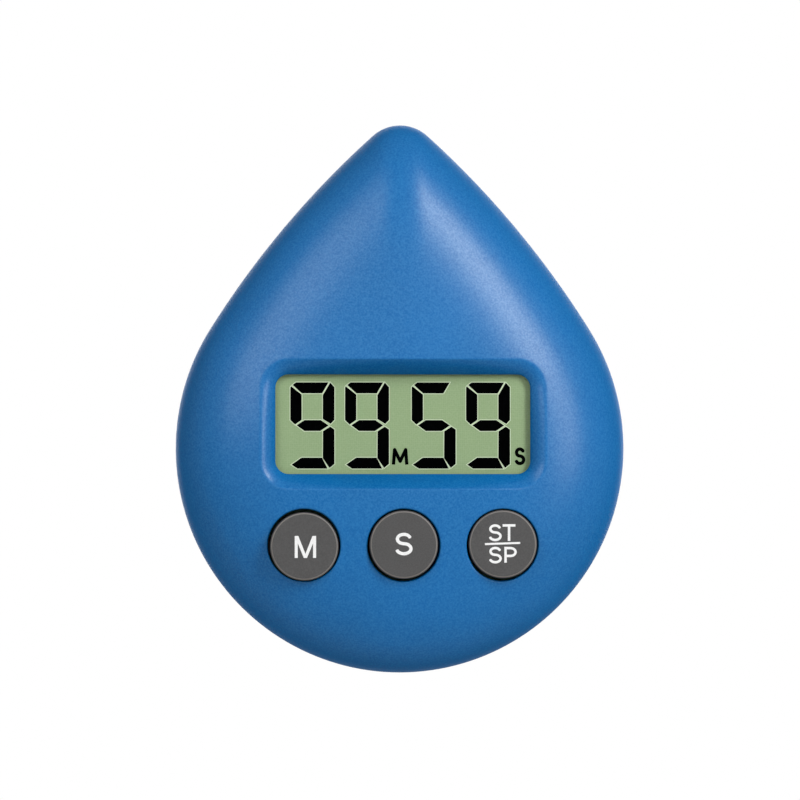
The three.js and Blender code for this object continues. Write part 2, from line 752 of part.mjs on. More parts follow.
add('case_seal', prism(sealShape, rimZ - sealHeight, rimZ), 'blackRubber');

// Button cell: the flat face of its can looks at the door
const capZ = cellTopZ - cellCap;
const capRadius = cellRadius - cellCap;
add('button_cell', turned([
  [0, cellZ], [cellRadius - cellEdge, cellZ], [cellRadius, cellZ + cellEdge], [cellRadius, capZ - cellEdge],
  [cellRadius - cellEdge, capZ], [capRadius, capZ], [capRadius, cellTopZ - cellEdge],
  [capRadius - cellEdge, cellTopZ], [0, cellTopZ],
], 24, 0, doorY), 'steel');

// Bent strip along points in the x and z directions, about the door's centre
function bentStrip(path) {
  const points = path.map(([x, z]) => new THREE.Vector2(x, z));
  const side = (sign) => points.map((point, i) => {
    const into = point.clone().sub(points[Math.max(i - 1, 0)]).normalize();
    const out = points[Math.min(i + 1, points.length - 1)].clone().sub(point).normalize();
    const along = into.clone().add(out).normalize();
    const lean = i > 0 && i < points.length - 1 ? along.dot(into) : 1;
    const away = new THREE.Vector2(-along.y, along.x);
    return point.clone().addScaledVector(away, sign * contactThickness / 2 / lean);
  });
  const shape = new THREE.Shape([...side(-1), ...side(1).reverse()]);
  const options = { depth: contactWidth, bevelEnabled: false };
  const strip = new THREE.ExtrudeGeometry(shape, options).translate(0, 0, -contactWidth / 2);
  return strip.rotateX(Math.PI / 2).translate(0, doorY, 0);
}
const clipHeight = wellFloorZ - undercutZ;
add('positive_contact', bentStrip([
  [clipX, undercutZ + pocketGap], [clipX - clipBulge, undercutZ + clipHeight * 0.45],
  [clipX, undercutZ + clipHeight * 0.9], [clipX, tailZ],
]), 'brass');
const leafMiddle = leafZ + contactThickness / 2;
add('negative_contact', bentStrip([[leafX / 2, leafMiddle], [-leafX, leafMiddle], [-leafX, tailZ]]), 'brass');

// Battery door with its lugs and coin slot
function batteryDoor() {
  const hollow = skirtRadius - skirtWall;
  const round = turned([
    [0, backZ], [doorRadius - doorEdge, backZ], [doorRadius, backZ + doorEdge], [doorRadius, doorInnerZ],
    [skirtRadius, doorInnerZ], [skirtRadius, skirtZ], [hollow, skirtZ], [hollow, doorInnerZ], [0, doorInnerZ],
  ], 28, 0, doorY);
  const lugs = [doorTurn, doorTurn + 180].map((middle) => (
    sector(skirtRadius - skirtWall / 2, lugRadius, middle, lugAngle, lugZ, skirtZ)
  ));
  const slot = plate(slotLength, slotWidth, slotWidth * 0.49, doorY, backZ - over, backZ + slotDepth);
  return geometryOf(joined([round, ...lugs]).subtract(body(slot)));
}
add('battery_door', batteryDoor(), 'bluePlastic');
const ring = new THREE.TorusGeometry(skirtRadius + ringRadius + ringGap, ringRadius, 6, 28);
add('door_seal', ring.translate(0, doorY, doorInnerZ + ringRadius + seatGap), 'blackRubber');

// Sounder
const plateZ = piezoSeatZ + seatGap;
const ceramicZ = plateZ + piezoThickness + seatGap;
const ceramicTopZ = ceramicZ + piezoThickness;
add('piezo_plate', disc(piezoRadius, plateZ, plateZ + piezoThickness, piezoX, piezoY, 28), 'brass');
add('piezo_ceramic', disc(ceramicRadius, ceramicZ, ceramicTopZ, piezoX, piezoY, 24), 'ceramicWhite');

// Lead: round tube along a smooth curve that starts and ends upright
function lead(x, y, z, endX, endY) {
  const solderZ = boardBackZ - 2 * seatGap;
  const bend = (solderZ - z) / 3;
  const curve = new THREE.CatmullRomCurve3([
    new THREE.Vector3(x, y, z),
    new THREE.Vector3(x, y, z + bend),
    new THREE.Vector3(endX, endY, solderZ - bend),
    new THREE.Vector3(endX, endY, solderZ),
  ]);
  const section = new THREE.Shape();
  section.absarc(0, 0, leadRadius, 0, 2 * Math.PI, false);
  return new THREE.ExtrudeGeometry(section, { steps: 10, curveSegments: 3, extrudePath: curve });
}
const rimX = piezoX - (piezoRadius + ceramicRadius) / 2;
const tailSide = contactThickness / 2 + leadRadius + leadGap;
const leadY = upperBossY - leadShift;
const leadX = upperBossX - boardHeadRadius - leadRadius;
const buzzerY = piezoY + leadShift;
const solderX = piezoX - leadRadius;
add('buzzer_lead_1', lead(piezoX, piezoY, ceramicTopZ + 2 * seatGap, solderX, buzzerY), 'redWire');
add('buzzer_lead_2', lead(rimX, piezoY, ceramicTopZ, rimX + leadRadius, buzzerY), 'blackWire');
add('battery_lead_1', lead(clipX + tailSide, doorY, wellTopZ + leadGap, leadX, leadY), 'redWire');
add('battery_lead_2', lead(-leafX - tailSide, doorY, wellTopZ + leadGap, -leadX, leadY), 'blackWire');

// Suction cup: hollow bell, hub, neck through the rear cover and a head behind it
const hubZ = backZ - 2 * seatGap;
const headZ = innerBackZ + 2 * seatGap;
add('suction_cup', turned([
  [0, cupHollow], [cupRadius * 0.3, cupHollow * 0.93], [cupRadius * 0.6, cupHollow * 0.6],
  [cupRadius * 0.8, cupHollow * 0.26], [cupRadius - lipWidth - lipEdge, 0], [cupRadius - lipEdge, 0],
  [cupRadius, lipEdge], [cupRadius * 0.86, cupHeight * 0.2], [cupRadius * 0.62, cupHeight * 0.42],
  [hubRadius * 1.25, cupHeight * 0.66], [hubRadius, cupHeight * 0.8], [hubRadius, hubZ],
  [neckRadius, hubZ], [neckRadius, headZ], [headRadius, headZ], [headRadius, headZ + headHeight * 0.6],
  [headRadius * 0.7, headZ + headHeight], [0, headZ + headHeight],
], 24, 0, cupY), 'clearRubber');

export default timer;
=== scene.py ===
# Drop-shaped countdown timer on a suction cup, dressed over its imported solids.
# Shapes are worked out in millimetres on the timer's own face: x to the right, y up from the centre
# of the round, z from the wall towards the reader. spot() turns that into the frame, in metres.
import json
import math

import bmesh
import bpy
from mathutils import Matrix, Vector
from mathutils.geometry import delaunay_2d_cdt


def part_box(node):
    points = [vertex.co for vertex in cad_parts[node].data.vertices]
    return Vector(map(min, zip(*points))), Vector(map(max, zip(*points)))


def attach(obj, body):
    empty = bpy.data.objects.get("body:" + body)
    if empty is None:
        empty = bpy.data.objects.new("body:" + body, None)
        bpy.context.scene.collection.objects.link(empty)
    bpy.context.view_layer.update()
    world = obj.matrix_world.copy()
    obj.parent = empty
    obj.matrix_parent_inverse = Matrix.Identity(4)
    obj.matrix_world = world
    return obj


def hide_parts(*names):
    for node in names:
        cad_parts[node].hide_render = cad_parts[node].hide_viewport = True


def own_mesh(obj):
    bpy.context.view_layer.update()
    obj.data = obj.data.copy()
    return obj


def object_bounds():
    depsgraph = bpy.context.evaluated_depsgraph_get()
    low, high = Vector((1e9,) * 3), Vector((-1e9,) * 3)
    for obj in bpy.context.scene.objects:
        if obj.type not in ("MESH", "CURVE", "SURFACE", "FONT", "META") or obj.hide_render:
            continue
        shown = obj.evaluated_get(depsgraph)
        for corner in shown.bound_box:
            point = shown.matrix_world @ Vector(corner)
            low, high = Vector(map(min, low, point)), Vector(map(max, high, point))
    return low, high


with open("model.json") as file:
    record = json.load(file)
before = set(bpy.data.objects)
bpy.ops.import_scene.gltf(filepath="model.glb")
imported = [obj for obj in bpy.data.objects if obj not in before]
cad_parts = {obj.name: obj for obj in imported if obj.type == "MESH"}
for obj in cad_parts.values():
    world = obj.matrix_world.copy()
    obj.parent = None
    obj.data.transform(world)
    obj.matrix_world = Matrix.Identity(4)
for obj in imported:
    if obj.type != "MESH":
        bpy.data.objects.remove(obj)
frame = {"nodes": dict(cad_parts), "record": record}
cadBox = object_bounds()
nodes = frame["nodes"]
mm = 0.001


def halfWidth(node):  # in millimetres
    low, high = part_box(node)
    return (high.x - low.x) / 2 / mm


shellLow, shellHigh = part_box("front_shell")
bodyRadius = halfWidth("front_shell")
bodyCentre = shellLow.z + bodyRadius * mm
partingZ = -shellHigh.y / mm
print("frame loaded,", len(nodes), "nodes")


def spot(x, y, z):
    return Vector((x * mm, -z * mm, y * mm + bodyCentre))


def levels(node):  # lowest and highest z of a node, in millimetres from the wall
    low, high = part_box(node)
    return -high.y / mm, -low.y / mm


def middle(node):  # a node's centre on the face, in millimetres
    low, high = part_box(node)
    return (low.x + high.x) / 2 / mm, ((low.z + high.z) / 2 - bodyCentre) / mm


class Value:  # a socket that takes part in Python sums
    def __init__(self, shader, socket):
        self.shader = shader
        self.socket = socket

    def math(self, operation, *terms):
        return self.shader.node("Math", {"operation": operation}, dict(enumerate(terms)))

    def __add__(self, other):
        return self.math("ADD", self, other)

    def __sub__(self, other):
        return self.math("SUBTRACT", self, other)

    def __rsub__(self, other):
        return self.math("SUBTRACT", other, self)

    def __mul__(self, other):
        return self.math("MULTIPLY", self, other)

    def __pow__(self, other):
        return self.math("POWER", self, other)

    def __rpow__(self, other):
        return self.math("POWER", other, self)

    __radd__ = __add__
    __rmul__ = __mul__

    def above(self, edge, soft):  # 0 below the edge, 1 above it
        settings = {"interpolation_type": "SMOOTHSTEP"}
        ends = {"Value": self, "From Min": edge - soft, "From Max": edge + soft}
        return self.shader.node("MapRange", settings, ends)


class Shader:
    def __init__(self, owner):  # a material or a world
        owner.use_nodes = True
        self.owner = owner
        self.tree = owner.node_tree
        self.tree.nodes.clear()
        self.output = self.tree.nodes.new("ShaderNodeOutput" + type(owner).__name__)

    def socket(self, sockets, key):
        if isinstance(key, int):
            return sockets[key]
        return next(s for s in sockets if key in (s.identifier, s.name))

    def node(self, kind, settings, inputs, out=0):
        made = self.tree.nodes.new("ShaderNode" + kind)
        for key, value in settings.items():
            setattr(made, key, value)
        for key, value in inputs.items():
            into = self.socket(made.inputs, key)
            if isinstance(value, Value):
                self.tree.links.new(value.socket, into)
            else:
                into.default_value = value
        return Value(self, self.socket(made.outputs, out))

    def place(self):
        return self.node("TexCoord", {}, {}, "Object")

    def facing(self):  # 0 where seen face-on, 1 at a grazing angle
        return self.node("LayerWeight", {}, {"Blend": 0.5}, "Facing")

    def noise(self, size, detail=3, stretch=None):  # size of a grain in millimetres
        where = self.place()
        if stretch:
            where = self.node("VectorMath", {"operation": "MULTIPLY"}, {0: where, 1: stretch})
        inputs = {"Vector": where, "Scale": 1 / (size * mm), "Detail": detail}
        return self.node("TexNoise", {}, inputs)

    def cells(self, size, randomness=1):
        inputs = {"Vector": self.place(), "Scale": 1 / (size * mm), "Randomness": randomness}
        return self.node("TexVoronoi", {}, inputs)

    def mix(self, share, first, second):
        inputs = {"Factor_Float": share}
        for key, tone in (("A_Color", first), ("B_Color", second)):
            inputs[key] = tone if isinstance(tone, Value) else (*tone, 1)
        return self.node("Mix", {"data_type": "RGBA"}, inputs, "Result_Color")

    def tint(self, share, tone, dark, light):  # from a darker to a lighter neighbour of a tone
        return self.mix(share, [c * dark for c in tone], [min(1, c * light) for c in tone])

    def bump(self, height, depth, strength):  # depth in millimetres
        inputs = {"Strength": strength, "Distance": depth * mm, "Height": height}
        return self.node("Bump", {}, inputs)

    def principled(self, **inputs):
        named = {key.replace("_", " "): value for key, value in inputs.items()}
        return self.show(self.node("BsdfPrincipled", {}, named))

    def show(self, surface):
        self.tree.links.new(surface.socket, self.output.inputs["Surface"])
        return self.owner


def finish(name):
    return Shader(bpy.data.materials.new(name))


def thinFinish(name, tone, grain, detail, tint, rough, specular, roughSpread=0.1):  # even coat
    shader = finish(name)
    fine = shader.noise(grain, detail)
    return shader.principled(
        Base_Color=shader.tint(fine, tone, *tint), Roughness=rough + fine * roughSpread,
        Specular_IOR_Level=specular,
    )


def grainFinish(name, look, **inputs):  # clouds in the tone, a fine grain in the gloss and relief
    shader = finish(name)
    cloud, fine = shader.noise(*look["cloud"]), shader.noise(*look["fine"])
    rough, spread = look["rough"]
    return shader.principled(
        Base_Color=shader.tint(cloud, look["tone"], *look["tint"]), Roughness=rough + fine * spread,
        Normal=shader.bump(fine, *look["relief"]), **inputs,
    )


class Build:  # points and faces of one piece
    def __init__(self):
        self.points = []
        self.faces = []

    def add(self, points):
        first = len(self.points)
        self.points.extend(points)
        return list(range(first, len(self.points)))

    def ring(self, plan, z):  # a flat outline at one level
        return self.add([spot(x, y, z) for x, y in plan])

    def strip(self, low, high):
        count = len(low)
        for i in range(count):
            j = (i + 1) % count
            self.faces.append((low[i], low[j], high[j], high[i]))

    def strips(self, rings):
        for low, high in zip(rings, rings[1:]):
            self.strip(low, high)

    def cap(self, *rings):
        self.faces += [tuple(ring) for ring in rings]

    def pocket(self, rings):  # walls and the last end
        self.strips(rings)
        self.cap(rings[-1])

    def plate(self, plan, low, high):
        below, above = self.ring(plan, low), self.ring(plan, high)
        self.strip(below, above)
        self.cap(below, above)


def addToScene(name, data):
    added = bpy.data.objects.new(name, data)
    bpy.context.scene.collection.objects.link(added)
    return added


def makePiece(name, build, material, body, replaced=None, sharp=40):  # sharp edges in degrees
    mesh = bpy.data.meshes.new(name)
    mesh.from_pydata(build.points, [], build.faces)
    work = bmesh.new()
    work.from_mesh(mesh)
    bmesh.ops.remove_doubles(work, verts=work.verts, dist=1e-7)
    bmesh.ops.recalc_face_normals(work, faces=work.faces)
    for face in work.faces:
        face.smooth = True
    limit = math.radians(sharp)
    for edge in work.edges:
        edge.smooth = len(edge.link_faces) == 2 and edge.calc_face_angle() < limit
    work.to_mesh(mesh)
    work.free()
    piece = addToScene(name, mesh)
    mesh.materials.append(material)
    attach(piece, body)
    if replaced:
        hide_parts(replaced)
    return piece


def dress(node, material):  # a node that keeps its solid
    slots = nodes[node].data.materials
    slots.clear()
    slots.append(material)


def circle(x, y, radius, sides):
    turns = [2 * math.pi * i / sides for i in range(sides)]
    return [(x + radius * math.cos(t), y + radius * math.sin(t)) for t in turns]


def arc(x, y, radius, start, end, steps):  # without its last point
    turns = [start + (end - start) * i / steps for i in range(steps)]
    return [(x + radius * math.cos(t), y + radius * math.sin(t)) for t in turns]


def roundedRect(width, height, corner, y, cornerSteps=10, along=28, up=10):
    points = []
    insideX, insideY = width / 2 - corner, height / 2 - corner
    for quarter, (sx, sy) in enumerate(((1, 1), (-1, 1), (-1, -1), (1, -1))):
        start = math.pi / 2 * quarter
        end = start + math.pi / 2
        centreX, centreY = sx * insideX, y + sy * insideY
        points += arc(centreX, centreY, corner, start, end, cornerSteps)
        fromX, fromY = centreX + corner * math.cos(end), centreY + corner * math.sin(end)
        steps, length = (up, 2 * insideY) if quarter % 2 else (along, 2 * insideX)
        for i in range(steps):
            run = length * i / steps
            points.append((fromX - run * math.sin(end), fromY + run * math.cos(end)))
    return points


def staggered(gap, reach):  # points of an even grid of triangles
    count = int(reach / gap)
    steps = range(-count, count + 1)
    return [((column + 0.5 * (row % 2)) * gap, row * gap * math.sqrt(0.75))
            for row in steps for column in steps]


def turnedRings(build, profile, x, y, sides):  # one ring of points for each radius and level
    return [build.ring(circle(x, y, radius, sides), z) for radius, z in profile]


def turned(profile, x, y, sides):  # closed body from such rings
    build = Build()
    rings = turnedRings(build, profile, x, y, sides)
    build.strips(rings)
    build.cap(rings[0], rings[-1])
    return build


def fillet(radius, z, size, steps, outwards=1, upwards=1):  # from a flat at z into a wall at radius
    turns = [math.pi / 2 * i / steps for i in range(steps + 1)]
    return [(radius + outwards * size * (1 - math.sin(t)), z + upwards * size * (1 - math.cos(t)))
            for t in turns]


def fillPlan(boundary, holes, extra):
    # triangles of a flat region between a boundary and its holes; rings inside it stay whole
    points, edges, rings = [], [], []
    for ring in [boundary, *holes, *extra]:
        first, count = len(points), len(ring)
        points += [Vector(p) for p in ring]
        if count > 1:
            edges += [(first + i, first + (i + 1) % count) for i in range(count)]
        rings.append(range(first, first + count))
    found, _, triangles, origins, _, _ = delaunay_2d_cdt(points, edges, [], 0, 1e-6)
    newIndex = {old: new for new, olds in enumerate(origins) for old in olds}
    loops = [[newIndex[i] for i in ring] for ring in rings[:len(holes) + 1]]
    holeOf = {i: number for number, loop in enumerate(loops[1:]) for i in loop}
    kept = []
    for triangle in triangles:
        inside = {holeOf.get(i, -1) for i in triangle}
        if len(inside) > 1 or -1 in inside:  # not wholly on one hole's edge
            kept.append(triangle)
    return found, kept, loops


def faceWithCut(build, outer, cut, z):  # flat between an outline and any shape inside it
    points = [Vector(p) for p in outer + cut]
    faces = [list(range(len(outer))), list(range(len(outer), len(points)))]
    found, _, triangles, _, _, sources = delaunay_2d_cdt(points, [], faces, 0, 1e-6)
    placed = build.ring(found, z)
    for triangle, source in zip(triangles, sources):
        if source == [0]:
            build.faces.append(tuple(placed[i] for i in triangle))


# case outline: a round body, two flanks and a round tip
caseShape = {
    "flankRadius": 153, "flankAngle": 32, "tipRadius": 6.8,
    "frontDepth": 17, "fullness": 2.8, "wall": 2, "rearEdge": 4.5,
    "bodySteps": 120, "flankSteps": 26, "tipSteps": 24,
}
flankRadius, tipRadius = caseShape["flankRadius"], caseShape["tipRadius"]
flankTurn = math.radians(caseShape["flankAngle"])
flankX = (flankRadius - bodyRadius) * math.cos(flankTurn)
flankY = (flankRadius - bodyRadius) * math.sin(flankTurn)
tipY = math.sqrt((flankRadius - tipRadius) ** 2 - flankX ** 2) - flankY
tipTurn = math.atan2(tipY + flankY, flankX)
tipReach = tipY + tipRadius
wallShare = caseShape["wall"] / bodyRadius


def dropOutline(inset=0.0):
    left, leftTip, flankSteps = math.pi - flankTurn, math.pi - tipTurn, caseShape["flankSteps"]
    return (
        arc(0, 0, bodyRadius - inset, left, 2 * math.pi + flankTurn, caseShape["bodySteps"])
        + arc(-flankX, -flankY, flankRadius - inset, flankTurn, tipTurn, flankSteps)
        + arc(0, tipY, tipRadius - inset, tipTurn, leftTip, caseShape["tipSteps"])
        + arc(flankX, -flankY, flankRadius - inset, leftTip, left, flankSteps)
    )


def outlineReach(x, y):  # from the centre to the outline, in the direction of a point
    length = math.hypot(x, y)
    if length == 0 or y <= 0:
        return bodyRadius
    along = (abs(x) / length, y / length)
    turn = math.atan2(along[1], along[0])
    meet = math.atan2(tipY + tipRadius * math.sin(tipTurn), tipRadius * math.cos(tipTurn))
    if turn <= flankTurn:
        return bodyRadius
    cx, cy, radius = (-flankX, -flankY, flankRadius) if turn < meet else (0, tipY, tipRadius)
    nearest = along[0] * cx + along[1] * cy
    return nearest + math.sqrt(nearest ** 2 - cx * cx - cy * cy + radius ** 2)


def outlineShare(x, y):  # 0 at the centre, 1 on the outline
    return math.hypot(x, y) / outlineReach(x, y)


def domeRise(share):
    full = caseShape["fullness"]
    return (1 - min(share, 1) ** full) ** (1 / full)


def faceZ(x, y):
    return partingZ + caseShape["frontDepth"] * domeRise(outlineShare(x, y))


def insideZ(share):  # the dome's inner side
    depth = caseShape["frontDepth"] - caseShape["wall"]
    return partingZ + depth * domeRise(share / (1 - wallShare))


# case plastic; a relief is a depth and a strength, a tint a darker and a lighter share of a tone
casePlastic = {
    "tone": (0.0006, 0.113, 0.353), "pale": (0.009, 0.2, 0.475),
    "cloud": 14, "cloudTint": (0.9, 1.12), "cloudRough": 0.05,
    "grain": 0.3, "grainEdge": (0.5, 0.22), "grainShare": 0.46, "pit": 0.48,
    "grainHeight": 0.7, "pitHeight": 0.6, "relief": (0.02, 0.8),
    "rough": 0.5, "roughSpread": 0.1, "specular": 0.03,
    "satin": 0.154, "satinSpread": 1.5, "satinRough": 0.32, "satinIndex": 2.4,
    "satinFade": (0.45, 0.25),
}


def makeCasePlastic(look):
    shader = finish("casePlastic")
    fine, pits = shader.noise(look["grain"]), shader.cells(look["pit"])
    cloud = shader.noise(look["cloud"])
    base = shader.tint(cloud, look["tone"], *look["cloudTint"])
    base = shader.mix(fine.above(*look["grainEdge"]) * look["grainShare"], base, look["pale"])
    rough = look["rough"] + (fine - 0.5) * look["roughSpread"] + (cloud - 0.5) * look["cloudRough"]
    satin = ((fine - 0.5) * look["satinSpread"] + 1) * look["satin"]
    satin = satin * (1 - shader.facing().above(*look["satinFade"]))  # the grain dulls the flanks
    height = fine * look["grainHeight"] + pits * look["pitHeight"]
    return shader.principled(
        Base_Color=base, Roughness=rough, Specular_IOR_Level=look["specular"],
        Normal=shader.bump(height, *look["relief"]),
        Coat_Weight=satin, Coat_Roughness=look["satinRough"], Coat_IOR=look["satinIndex"],
    )


blueCase = makeCasePlastic(casePlastic)

# front shell with its sunk window and the holes of the keys
frontShell = {
    "windowWidth": 42, "windowHeight": 16.4, "windowCorner": 2.2, "windowY": 3.9, "lip": 0.05,
    "bezelWidth": 2.45, "bezelDepth": 3.65, "bezelSoft": 0.14, "outerSlope": 0.72, "bend": 2.4,
    "bezelRings": 12, "creaseRuns": (-0.1, -0.05, 0, 0.05, 0.1, 0.2, 0.35, 0.7, 1.2, 1.7),
    "keyGap": 0.35, "holeFillet": 0.3, "filletRings": 5, "filletRun": 0.25, "holeSides": 72,
    "holeRun": 2, "holeClear": 2.6, "bezelClear": 1.9, "ledgeWall": 0.7,
    "collarZ": 27, "collarWall": 1.3, "collarRing": 0.7, "collarFlat": 0.8, "edge": 0.15,
    "joinShare": 0.86, "joinClear": 0.02, "sideRings": 22, "ringBias": 1.5, "spacing": 1.3,
}
keyNames = ("minute", "second", "start_stop")
keySpots = [middle(f"{key}_button") for key in keyNames]
keyLow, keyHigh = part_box("second_button")
keyRadius = (keyHigh.z - keyLow.z) / 2 / mm  # not by its width, which has the tabs
holeRadius = keyRadius + frontShell["keyGap"]
floorZ = partingZ + caseShape["frontDepth"] - frontShell["bezelDepth"]


def windowOutline(run, y):  # the window's opening, grown by run
    return roundedRect(frontShell["windowWidth"] + 2 * run, frontShell["windowHeight"] + 2 * run,
                       frontShell["windowCorner"] + run, y)


def windowReach(x, y):  # how far a point lies outside the window's opening
    corner = frontShell["windowCorner"]
    dx = abs(x) - frontShell["windowWidth"] / 2 + corner
    dy = abs(y - frontShell["windowY"]) - frontShell["windowHeight"] / 2 + corner
    return math.hypot(max(dx, 0), max(dy, 0)) + min(max(dx, dy), 0) - corner


def holeReach(x, y):  # how far it lies outside the nearest key hole
    return min(math.hypot(x - keyX, y - keyY) for keyX, keyY in keySpots) - holeRadius


def frontHeight(x, y):  # outer face with the sloped bezel and the rounded hole edges
    height = faceZ(x, y)
    run, soft = windowReach(x, y) / frontShell["bezelWidth"], frontShell["bezelSoft"]
    if run < 2:  # steep at the window, easier towards the face
        even = frontShell["outerSlope"]
        rise = even * run + (1 - even) * (1 - max(1 - run, 0) ** frontShell["bend"])
        slope = floorZ + (height - floorZ) * rise
        share = max(soft - abs(height - slope), 0) / soft
        height = min(height, slope) - share * share * soft / 4
    edge, run = frontShell["holeFillet"], holeReach(x, y)
    if run < edge:
        height -= edge - math.sqrt(max(edge ** 2 - (edge - max(run, 0)) ** 2, 0))
    return height


def innerHeight(x, y):  # inside of the shell, with the window's ledge and the collars
    if holeReach(x, y) < frontShell["collarWall"] * frontShell["collarFlat"]:
        return frontShell["collarZ"]
    wall = caseShape["wall"] * frontShell["ledgeWall"]
    ledge = max(floorZ - frontShell["lip"], frontHeight(x, y) - wall)
    return min(insideZ(outlineShare(x, y)), ledge)


def makeFrontShell(look):
    build, outline = Build(), dropOutline()
    full, join = caseShape["fullness"], look["joinShare"]
    lastTurn = math.acos(join ** (full / 2))
    outer, inner = [build.ring(dropOutline(look["edge"]), partingZ)], []
    for i in range(look["sideRings"] + 1):  # sides, from the parting line to the face
        turn = lastTurn * (i / look["sideRings"]) ** look["ringBias"]
        share, rise = math.cos(turn) ** (2 / full), math.sin(turn) ** (2 / full)
        z = partingZ + max(caseShape["frontDepth"] * rise, look["edge"])
        outer.append(build.ring([(x * share, y * share) for x, y in outline], z))
        thin = share * (1 - wallShare * (share - join) / (1 - join))
        inner.append(build.ring([(x * thin, y * thin) for x, y in outline], insideZ(thin)))
    build.strips(outer)
    build.strips(inner)
    build.strip(outer[0], inner[0])
    holes = [windowOutline(0, look["windowY"])]
    width, count, edge = look["bezelWidth"], look["bezelRings"], look["holeFillet"]
    runs = [width * i / count for i in range(1, count)]
    runs += [width + step for step in look["creaseRuns"]]
    extra = [windowOutline(run, look["windowY"]) for run in runs]
    steps = [math.pi / 2 * i / look["filletRings"] for i in range(1, look["filletRings"] + 1)]
    runs, collar = [edge * (1 - math.cos(t)) for t in steps], look["collarWall"]
    runs += [edge + look["filletRun"], collar * look["collarRing"], collar, look["holeRun"]]
    for keyX, keyY in keySpots:
        holes.append(circle(keyX, keyY, holeRadius, look["holeSides"]))
        extra += [circle(keyX, keyY, holeRadius + run, look["holeSides"]) for run in runs]
    bezelClear = width * look["bezelClear"]
    for x, y in staggered(look["spacing"], tipReach):
        clear = holeReach(x, y) > look["holeClear"] and windowReach(x, y) > bezelClear
        if clear and outlineShare(x, y) < join - look["joinClear"]:
            extra.append([(x, y)])
    points, triangles, loops = fillPlan([(x * join, y * join) for x, y in outline], holes, extra)
    top = build.add([spot(x, y, frontHeight(x, y)) for x, y in points])
    under = build.add([spot(x, y, innerHeight(x, y)) for x, y in points])
    for a, b, c in triangles:
        build.faces += [(top[a], top[b], top[c]), (under[a], under[c], under[b])]
    for loop in loops[1:]:
        build.strip([top[i] for i in loop], [under[i] for i in loop])
    makePiece("frontShell", build, blueCase, "case", "front_shell", sharp=50)


makeFrontShell(frontShell)
print("front shell made")


# thin prints are closed plates of one outline each, laid on a flat
def strokeEnd(x, y, start, width, steps):  # half round, or flat with one step
    turns = [start + math.pi * i / steps for i in range(steps + 1)]
    return [(x + width / 2 * math.cos(t), y + width / 2 * math.sin(t)) for t in turns]


def strokePlates(line, width, steps=7):  # a plate for each step of a line, round at its bends
    plates, last = [], len(line) - 2
    for number, ((ax, ay), (bx, by)) in enumerate(zip(line, line[1:])):
        turn = math.atan2(by - ay, bx - ax) - math.pi / 2
        ahead = strokeEnd(bx, by, turn, width, 1 if number == last else steps)
        plates.append(ahead + strokeEnd(ax, ay, turn + math.pi, width, 1 if number == 0 else steps))
    return plates


def turnOf(plate):  # 1 if the corners go round to the left, else -1
    area = sum(ax * by - bx * ay for (ax, ay), (bx, by) in zip(plate, plate[1:] + plate[:1]))
    return math.copysign(1, area)


def growPlate(plate, run):  # the same plate with its edges moved outwards
    count, grown, side = len(plate), [], turnOf(plate)
    for i in range(count):
        before, here, after = (Vector(plate[(i + k) % count]) for k in (-1, 0, 1))
        into, out = (here - before).normalized(), (after - here).normalized()
        away = Vector((into.y + out.y, -into.x - out.x)).normalized() * side
        lean = max(0.5, away.dot(Vector((out.y, -out.x)) * side))  # keeps sharp corners short
        grown.append(tuple(here + away * run / lean))
    return grown


def makePrint(name, plates, z, thick, material, body):
    points, faces = [], []
    for plate in plates:
        faces.append(list(range(len(points), len(points) + len(plate))))
        points += [Vector(p) for p in (plate if turnOf(plate) > 0 else reversed(plate))]
    found, _, triangles, _, _, sources = delaunay_2d_cdt(points, [], faces, 0, 1e-5)
    build = Build()
    low, high = build.ring(found, z), build.ring(found, z + thick)
    borders = {}
    for (a, b, c), source in zip(triangles, sources):
        if source:
            build.faces += [(high[a], high[b], high[c]), (low[a], low[c], low[b])]
            borders.update({(a, b): True, (b, c): True, (c, a): True})
    for a, b in borders:
        if (b, a) not in borders:
            build.faces.append((high[a], low[a], low[b], high[b]))
    makePiece(name, build, material, body, sharp=30)


letterShapes = {  # shares of a plain letter's size or stroke, and angles in degrees
    "M": {"slantTop": 1.2, "slantFoot": 0.52},
    "P": {"middle": 0.25, "wide": 0.4, "tall": 0.27, "thin": 0.3},
    "S": {
        "upper": 0.24, "lower": 0.26, "narrow": 0.9, "upperArc": (14, 252), "lowerArc": (72, -166),
    },
    "splayedM": {"lean": 0.17, "dip": 0.2},
}


